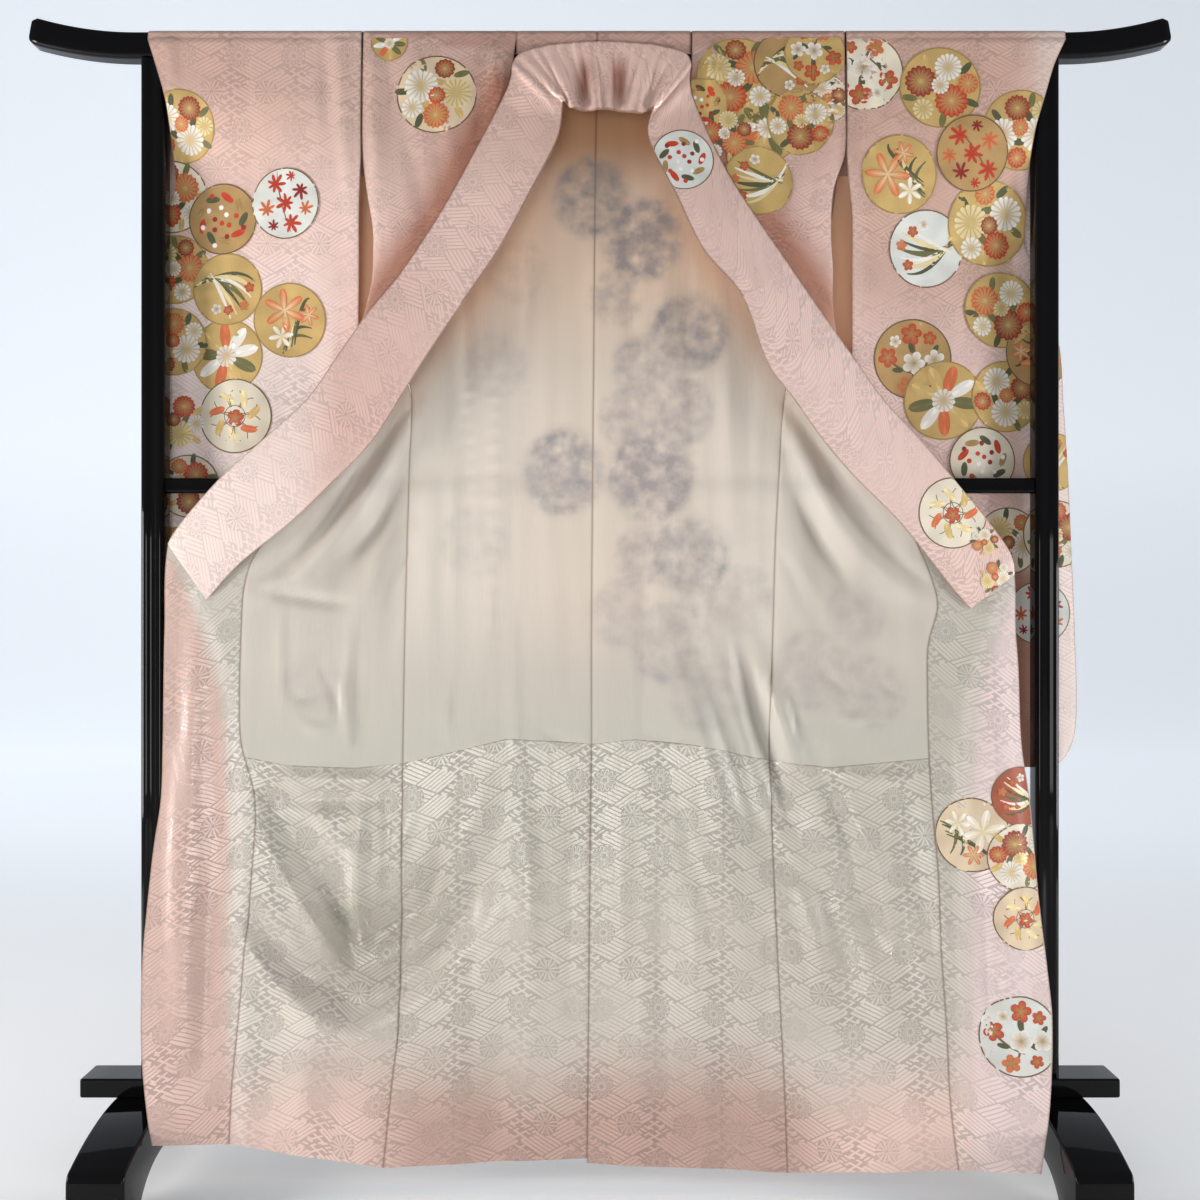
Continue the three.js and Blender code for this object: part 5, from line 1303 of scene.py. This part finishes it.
def lilies(number):
    """Three lilies over a fan of blades."""
    made = []
    for k in range(5):
        made += blade((-0.7 + 0.1 * k, -0.6), (-0.2 + 0.2 * k, -0.1 + 0.1 * k),
                      (0.2 + 0.15 * k, -0.75 + 0.22 * k), 0.05,
                      (OLIVE, MOSS, PALE_GOLD)[k % 3], 1 + 0.1 * k)
    made += lily((0.05, 0.3), 0.6, 0.4 + number, (ORANGE, WHITE, RED)[number % 3], 2.2)
    made += lily((-0.45, -0.2), 0.34, 1.0 + number, WHITE, 2.4)
    return made + lily((0.5, -0.2), 0.3, 0.1, ORANGE, 2.3)


def berries(number):
    """A wreath of leaves with a spiral of berries in it."""
    made = []
    for k in range(9):
        a = k * 0.7 + number
        made += leaf(polar(0.62, a), 0.22, a + 1.1, (RED, MOSS, OLD_GOLD)[k % 3], 1.2)
    for k in range(14):
        made += berry(polar(0.12 + 0.05 * k, k * 2.4), 0.075, (RED, WHITE, DARK_RED)[k % 3])
    return made


def leaves(number):
    """Nine leaves like a wheel's spokes round a chrysanthemum."""
    made = []
    for k in range(9):
        a = k * 2 * math.pi / 9 + number
        made += leaf(polar(0.55, a), 0.36, a, (GOLD, OLIVE, WHITE, ORANGE)[(k + number) % 4], 1 + 0.1 * k)
    return made + mum((0, 0), 0.3, 0, WHITE, 2.4, 12)


def lines(number):
    """Seven open arcs with leaves in a ring round a blossom."""
    made = []
    for k in range(7):
        a = k * 2 * math.pi / 7 + number
        place = polar(0.52, a)
        made += ring(0.4, 0.022, BROWN, 1, 0.0, 0.55, place, a + 1.4)
        made += leaf(place, 0.24, a + 0.6, (PALE_GOLD, ORANGE, GOLD)[k % 3], 1.2)
    return made + blossom((0.05, -0.02), 0.24, 0.3, RED, 2.0) + ring(0.3, 0.02, BROWN, 1.6)


KINDS = {"mums": mums, "plum": plums, "maple": maples, "grass": grasses, "lily": lilies,
         "berries": berries, "leaves": leaves, "lines": lines}


def circle(kind, ground, number):
    """One flower circle in a unit disc: its ground and rim, if it has one, then what
    belongs to its kind, turned and coloured by its number."""
    made = []
    if ground != "none":
        base = GROUNDS[ground]
        made += figure(48, 7, base, base * np.array([0.92, 0.9, 0.86, 1]), even,
                       lambda a, k: (1 - 0.08 * np.sin(3 * a + number) * k
                                     - 0.06 * np.sin(7 * a + 2 * number) * k), (0, 0), 1.0, 0.0, 0)
        made += ring(1.0, 0.035, BROWN if ground != "gold" else OLD_GOLD, 0.6)
    return made + KINDS[kind](number)


def found(at, x, z, s_range, r_range):
    """Where points (x, z) lie on a surface: the nearest of a grid of its points, then
    six Newton steps with slopes taken over a small step of s and of r."""
    step = 0.01
    gs, gr = np.meshgrid(np.linspace(*s_range, 15), np.linspace(*r_range, 100))
    grid = at(gs, gr)[..., [0, 2]].reshape(-1, 2)
    near = ((x[:, None] - grid[:, 0]) ** 2 + (z[:, None] - grid[:, 1]) ** 2).argmin(1)
    s, r = gs.ravel()[near], gr.ravel()[near]
    for _ in range(6):
        p, ps, pr = at(s, r), at(s + step, r), at(s, r + step)
        xs, zs, xr, zr = (ps - p)[:, 0], (ps - p)[:, 2], (pr - p)[:, 0], (pr - p)[:, 2]
        det = xs * zr - zs * xr
        det = np.where(np.abs(det) < 1e-7, 1e-7, det)
        dx, dz = x - p[:, 0], z - p[:, 2]
        s = s + np.clip((dx * zr - dz * xr) / det * step, -0.2, 0.2)
        r = r + np.clip((dz * xs - dx * zs) / det * step, -1, 1)
        s, r = np.clip(s, *s_range), np.clip(r, *r_range)
    return s, r


# How far the lowest paint lies off the silk, how far each layer over the one below,
# and how many layers a circle takes before the next that may overlap it.
PAINT_LIFT, LAYER_LIFT, CIRCLE_LAYERS = 0.22, 0.11, 3.4


def drawn(key):
    """All flower circles of one panel, still flat: points (x, z and layer of paint),
    triangles and colours."""
    points, faces, tints, count = [], [], [], 0
    for number, (cx, cz, size, kind, ground) in enumerate(CIRCLES[key]):
        turned = number * 1.9 + cx * 0.01
        c, sn = math.cos(turned), math.sin(turned)
        for shape, tris, hue, layer in circle(kind, ground, number + int(abs(cx)) % 5):
            x = cx + size * (c * shape[:, 0] - sn * shape[:, 1])
            z = cz + size * (sn * shape[:, 0] + c * shape[:, 1])
            points.append(np.stack([x, z, layer + CIRCLE_LAYERS * (number % 4)], 1))
            faces.append(tris + count)
            tints.append(hue)
            count += len(shape)
    return np.concatenate(points), np.concatenate(faces), np.concatenate(tints)


def painted(key, at, s_range, r_range, face, turn):
    """The flower circles of one panel as one mesh: their points carried onto the
    cloth along Y and lifted off its face by a hair for each layer of paint."""
    flat, faces, tints = drawn(key)
    s, r = np.empty(len(flat)), np.empty(len(flat))
    for start in range(0, len(flat), 4000):  # in parts, to spare memory
        part = slice(start, start + 4000)
        s[part], r[part] = found(at, flat[part, 0], flat[part, 1], s_range, r_range)
    n = normal(at, s, r, turn)
    lift = face + np.sign(face) * (PAINT_LIFT + LAYER_LIFT * flat[:, 2])
    p = at(s, r) + n * lift[:, None]
    # figures that fall off the panel's edge have no size left and are dropped
    a, b, c = p[faces[:, 0]], p[faces[:, 1]], p[faces[:, 2]]
    cross = np.cross(b - a, c - a)
    kept = np.linalg.norm(cross, axis=1) > 0.02
    faces, cross = faces[kept], cross[kept]
    outward = (cross * n[faces[:, 0]]).sum(1) * np.sign(face)
    faces = np.where((outward < 0)[:, None], faces[:, ::-1], faces)
    used, back = np.unique(faces, return_inverse=True)
    faces = back.reshape(faces.shape)
    mesh = bpy.data.meshes.new("circles_" + key)
    mesh.from_pydata((p[used] / 1000).tolist(), [], faces.tolist())
    mesh.shade_smooth()
    colour = mesh.color_attributes.new("tint", "FLOAT_COLOR", "POINT")
    colour.data.foreach_set("color", tints[used].ravel())
    piece = placed("circles_" + key, mesh, paint)
    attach(piece, "root")


# Gold leaf is worn in flakes; the dyes between are matt.
paint, t, shader = finish_of("painted_silk")
metal, spot = t.tint(1), t.spot()
flake, patch = t.noise(spot, 420.0, 3.0), t.noise(spot, 70.0, 2.0)
leafed = t.blend(flake * 0.7 + patch * 0.3, (0.5, 0.46, 0.4, 1), (1.55, 1.5, 1.4, 1))
fill(shader, {"Base Color": t.blend(metal, t.tint(), leafed, "MULTIPLY"), "Metallic": metal * 0.85,
              "Roughness": 0.55 - 0.15 * metal + 0.15 * (flake - 0.5), "Normal": t.bump(0.3, 0.0004, flake)})

# Middle (x, z), radius, kind and ground of every circle.
CIRCLES = {
    "sleeve_right": [
        (-599, 1498, 48, "mums", "gold"), (-620, 1404, 51, "mums", "cream"),
        (-546, 1370, 51, "berries", "tan"), (-451, 1388, 50, "maple", "white"),
        (-618, 1300, 50, "mums", "gold"), (-540, 1269, 52, "grass", "gold"),
        (-448, 1223, 53, "lily", "gold"), (-621, 1195, 49, "mums", "gold"),
        (-542, 1173, 54, "leaves", "gold"), (-530, 1086, 54, "lines", "cream"),
        (-622, 1080, 48, "mums", "none"), (-600, 985, 46, "mums", "cream"), (-520, 950, 44, "plum", "gold"),
        (-612, 880, 46, "grass", "gold"), (-590, 780, 48, "mums", "cream"),
        (-470, 720, 50, "maple", "white"), (-560, 680, 46, "mums", "gold")],
    "sleeve_left": [
        (376, 1570, 56, "plum", "cream"), (484, 1548, 58, "mums", "gold"), (426, 1425, 55, "lily", "gold"),
        (531, 1457, 52, "maple", "tan"), (600, 1490, 55, "mums", "gold"), (469, 1324, 55, "grass", "white"),
        (560, 1362, 60, "mums", "gold"), (582, 1240, 55, "mums", "gold"), (452, 1168, 57, "plum", "tan"),
        (498, 1108, 57, "leaves", "gold"), (590, 1115, 52, "mums", "gold"),
        (556, 1021, 49, "berries", "cream"), (595, 905, 49, "mums", "cream"),
        (660, 1020, 43, "grass", "gold"), (666, 915, 49, "mums", "cream"), (640, 1180, 50, "lily", "tan"),
        (520, 820, 50, "mums", "gold"), (640, 800, 46, "maple", "white"), (470, 700, 46, "plum", "cream")],
    "front_left": [
        (196, 1560, 60, "mums", "gold"), (270, 1582, 52, "grass", "tan"),
        (142, 1520, 38, "berries", "gold"), (223, 1409, 50, "grass", "gold"),
        (236, 1486, 48, "leaves", "gold"), (284, 1497, 48, "mums", "gold"), (176, 1476, 42, "mums", "none"),
        (306, 1596, 44, "plum", "gold"), (322, 1530, 34, "mums", "cream"), (300, 700, 52, "mums", "gold"),
        (390, 620, 54, "plum", "cream"), (330, 540, 50, "lily", "gold"), (420, 470, 52, "mums", "gold"),
        (300, 400, 50, "maple", "white"), (380, 340, 54, "leaves", "gold"), (290, 250, 52, "mums", "cream"),
        (420, 210, 50, "grass", "tan"), (340, 140, 52, "mums", "gold")],
    "front_right": [
        (-232, 1536, 57, "mums", "beige"), (-300, 1612, 26, "leaves", "gold"),
        (-330, 420, 50, "mums", "cream"), (-420, 330, 52, "plum", "gold"),
        (-340, 230, 50, "maple", "white"), (-440, 160, 50, "mums", "gold")],
    "over_collar": [(116, 1436, 44, "berries", "white")],
    "collar": [
        (494, 940, 50, "lines", "cream"), (556, 850, 26, "mums", "none"), (540, 900, 22, "mums", "none")],
    "okumi_left": [
        (500, 560, 50, "mums", "gold"), (560, 470, 50, "plum", "cream"), (510, 380, 48, "lily", "gold"),
        (570, 290, 50, "mums", "gold"), (520, 190, 48, "maple", "white")],
    "okumi_right": [(-550, 300, 48, "mums", "gold"), (-530, 190, 48, "plum", "cream")],
    "okumi_hakkake_left": [
        (516, 492, 51, "lily", "beige"), (584, 545, 41, "grass", "brick"), (581, 462, 46, "mums", "cream"),
        (584, 380, 43, "lines", "beige"), (571, 223, 54, "plum", "white")],
    "back_left": [
        (60, 1540, 56, "mums", "gold"), (150, 1500, 52, "plum", "cream"), (250, 1560, 54, "mums", "gold"),
        (40, 1430, 50, "berries", "white"), (140, 1390, 55, "lily", "gold"),
        (240, 1450, 50, "maple", "white"), (300, 1340, 52, "mums", "gold"), (70, 1327, 52, "grass", "gold"),
        (180, 1280, 52, "mums", "cream"), (140, 1186, 48, "leaves", "gold"), (60, 1120, 50, "mums", "gold"),
        (200, 1080, 50, "plum", "tan"), (70, 988, 56, "grass", "white"), (160, 930, 52, "mums", "gold"),
        (90, 860, 50, "lines", "cream"), (200, 800, 50, "mums", "cream"), (60, 740, 50, "lily", "gold"),
        (150, 680, 52, "mums", "gold"), (220, 600, 50, "maple", "white"), (80, 590, 52, "mums", "gold"),
        (150, 500, 54, "plum", "cream"), (50, 440, 50, "mums", "gold"), (210, 420, 52, "grass", "tan"),
        (120, 350, 52, "mums", "gold"), (210, 290, 50, "leaves", "gold"), (50, 260, 52, "lily", "cream"),
        (140, 200, 52, "mums", "gold"), (220, 130, 48, "plum", "gold"), (60, 120, 50, "mums", "cream")],
    "back_right": [
        (-70, 1550, 48, "mums", "cream"), (-52, 1398, 42, "plum", "gold"), (-240, 1540, 50, "lily", "gold"),
        (-70, 996, 54, "mums", "cream"), (-160, 900, 48, "maple", "white"), (-60, 780, 50, "mums", "gold"),
        (-180, 640, 50, "plum", "cream"), (-80, 540, 52, "mums", "gold"), (-200, 470, 50, "grass", "gold"),
        (-110, 400, 52, "leaves", "gold"), (-230, 330, 50, "mums", "cream"), (-60, 300, 50, "lily", "tan"),
        (-150, 240, 52, "mums", "gold"), (-240, 180, 48, "maple", "white"), (-70, 150, 50, "mums", "gold"),
        (-170, 110, 48, "plum", "cream")],
    "sleeve_behind_left": [
        (420, 1540, 56, "mums", "gold"), (520, 1500, 54, "plum", "cream"), (610, 1540, 52, "mums", "gold"),
        (440, 1420, 54, "grass", "gold"), (550, 1400, 52, "maple", "white"),
        (630, 1350, 50, "mums", "gold"), (480, 1310, 52, "lily", "cream"), (580, 1250, 54, "mums", "gold"),
        (640, 1130, 50, "leaves", "gold"), (540, 1120, 52, "mums", "cream"),
        (600, 1020, 50, "plum", "gold"), (660, 900, 48, "mums", "gold"), (560, 880, 52, "berries", "white"),
        (620, 760, 52, "mums", "gold"), (520, 700, 50, "maple", "cream"), (640, 660, 46, "mums", "gold")],
    "sleeve_behind_right": [
        (-600, 1500, 54, "mums", "gold"), (-500, 1450, 52, "maple", "white"),
        (-600, 1380, 52, "plum", "gold"), (-520, 1310, 52, "mums", "cream"),
        (-610, 1240, 50, "lily", "gold"), (-540, 1160, 52, "mums", "gold"),
        (-610, 1060, 50, "grass", "tan"), (-540, 960, 52, "mums", "cream"),
        (-610, 860, 50, "leaves", "gold"), (-520, 780, 52, "plum", "cream"),
        (-600, 700, 50, "mums", "gold"), (-420, 700, 48, "maple", "white")],
}
for side, turn in SIDES:
    front, back, out, inside = front_cloth(side), back_cloth(side), OUTER[1], LINING[1]
    shown, behind = sleeve_layer(SLEEVE_FRONT, side, True), sleeve_layer(SLEEVE_BACK, side, False)
    sleeve_range, okumi_range, hem_row = (0.004, 0.996), (2.012, 2.988), HEM - 0.05
    for node, at, s_range, r_range, face, way in (
            ("sleeve_", shown, sleeve_range, (-0.5, SLEEVE_END - 0.1), inside, turn),
            ("sleeve_behind_", behind, sleeve_range, (-0.5, SLEEVE_END - 0.1), inside, -turn),
            ("front_", front, (1.006, 1.994), (-0.9, hem_row), out, turn),
            ("okumi_", front, okumi_range, (OKUMI_TOP, hem_row), out, turn),
            ("okumi_hakkake_", front, okumi_range, (OKUMI_TOP, hem_row), inside, turn),
            ("back_", back, (0.006, 0.994), (0, BACK_HEM - 0.05), out, turn)):
        if node + side in CIRCLES:
            painted(node + side, at, s_range, r_range, face, way)
painted("collar", band, (0.01, 0.99), (OVER_TO + 0.02, len(COLLAR) - 1.02), BAND_SKINS[1], 1)
painted("over_collar", band, (0.012, 0.988), (OVER_FROM + 0.05, OVER_TO - 0.05), OVER_SKINS[1], 1)


# ---- floor and light -------------------------------------------------------
# A pale studio floor that runs far back and up into a cool light wall. Both glow by
# themselves, the floor faintly near by and more towards the wall, whose glow is painted
# darker towards +X; low soft lamps to the left, right and front.
backdrop, t, shader = finish_of("studio_paper")
spot = t.spot()
far = t.node("MapRange", {"interpolation_type": "SMOOTHSTEP"}, {0: spot.part(1), 1: -0.5, 2: 3.5})
# painted shade: the wall's glow falls off towards +X
aside = t.node("MapRange", {}, {0: spot.part(0), 1: -3.0, 2: 3.0})
wall = t.blend(aside, (0.46, 0.50, 0.545, 1), (0.36, 0.385, 0.42, 1))
fill(shader, {"Base Color": (0.88, 0.88, 0.885, 1), "Roughness": 0.7, "Emission Strength": 1.0,
              "Emission Color": t.blend(far, (0.14, 0.14, 0.135, 1), wall)})
NEAR, FAR, COVE, WALL_TOP, HALF_WIDE = -9000, 5500, 2000, 12000, 14000
a = np.linspace(0, math.pi / 2, 16)
cove = np.stack([FAR + COVE * np.sin(a), COVE - COVE * np.cos(a)], 1)
sweep = np.concatenate([[(NEAR, 0)], cove, [(FAR + COVE, WALL_TOP)]])
points = [(x, y, z) for y, z in sweep.tolist() for x in (-HALF_WIDE, HALF_WIDE)]
quads = [(k, k + 1, k + 3, k + 2) for k in range(0, 2 * len(sweep) - 2, 2)]
make("studio_floor", points, quads, backdrop)


def soft_light(name, place, towards, size, power, colour):
    """A square lamp at a place in metres, turned towards a point."""
    light = bpy.data.lights.new(name, "AREA")
    light.size, light.energy, light.color = size, power, colour
    lamp = bpy.data.objects.new(name, light)
    away = np.array(place, float) - np.array(towards, float)
    away /= np.linalg.norm(away)
    lamp.location = place
    lamp.rotation_euler = (math.acos(away[2]), 0, math.atan2(away[1], away[0]) + math.pi / 2)
    lamp.visible_camera = False
    bpy.context.scene.collection.objects.link(lamp)


soft_light("left", (-2.6, -0.85, 0.65), (0, 0, 0.6), 0.9, 57, (1.0, 0.985, 0.965))
soft_light("right", (2.7, -0.9, 0.55), (0, 0, 0.65), 0.8, 46, (0.97, 0.985, 1.0))
soft_light("front", (-0.5, -3.4, 0.6), (0, 0, 0.7), 1.0, 17, (1.0, 0.98, 0.95))
sky = bpy.data.worlds.new("studio")
sky.use_nodes = True
sky.node_tree.nodes["Background"].inputs[0].default_value = (0.74, 0.78, 0.84, 1)
sky.node_tree.nodes["Background"].inputs[1].default_value = 0.3
bpy.context.scene.world = sky
bpy.context.scene.view_settings.view_transform = "Standard"
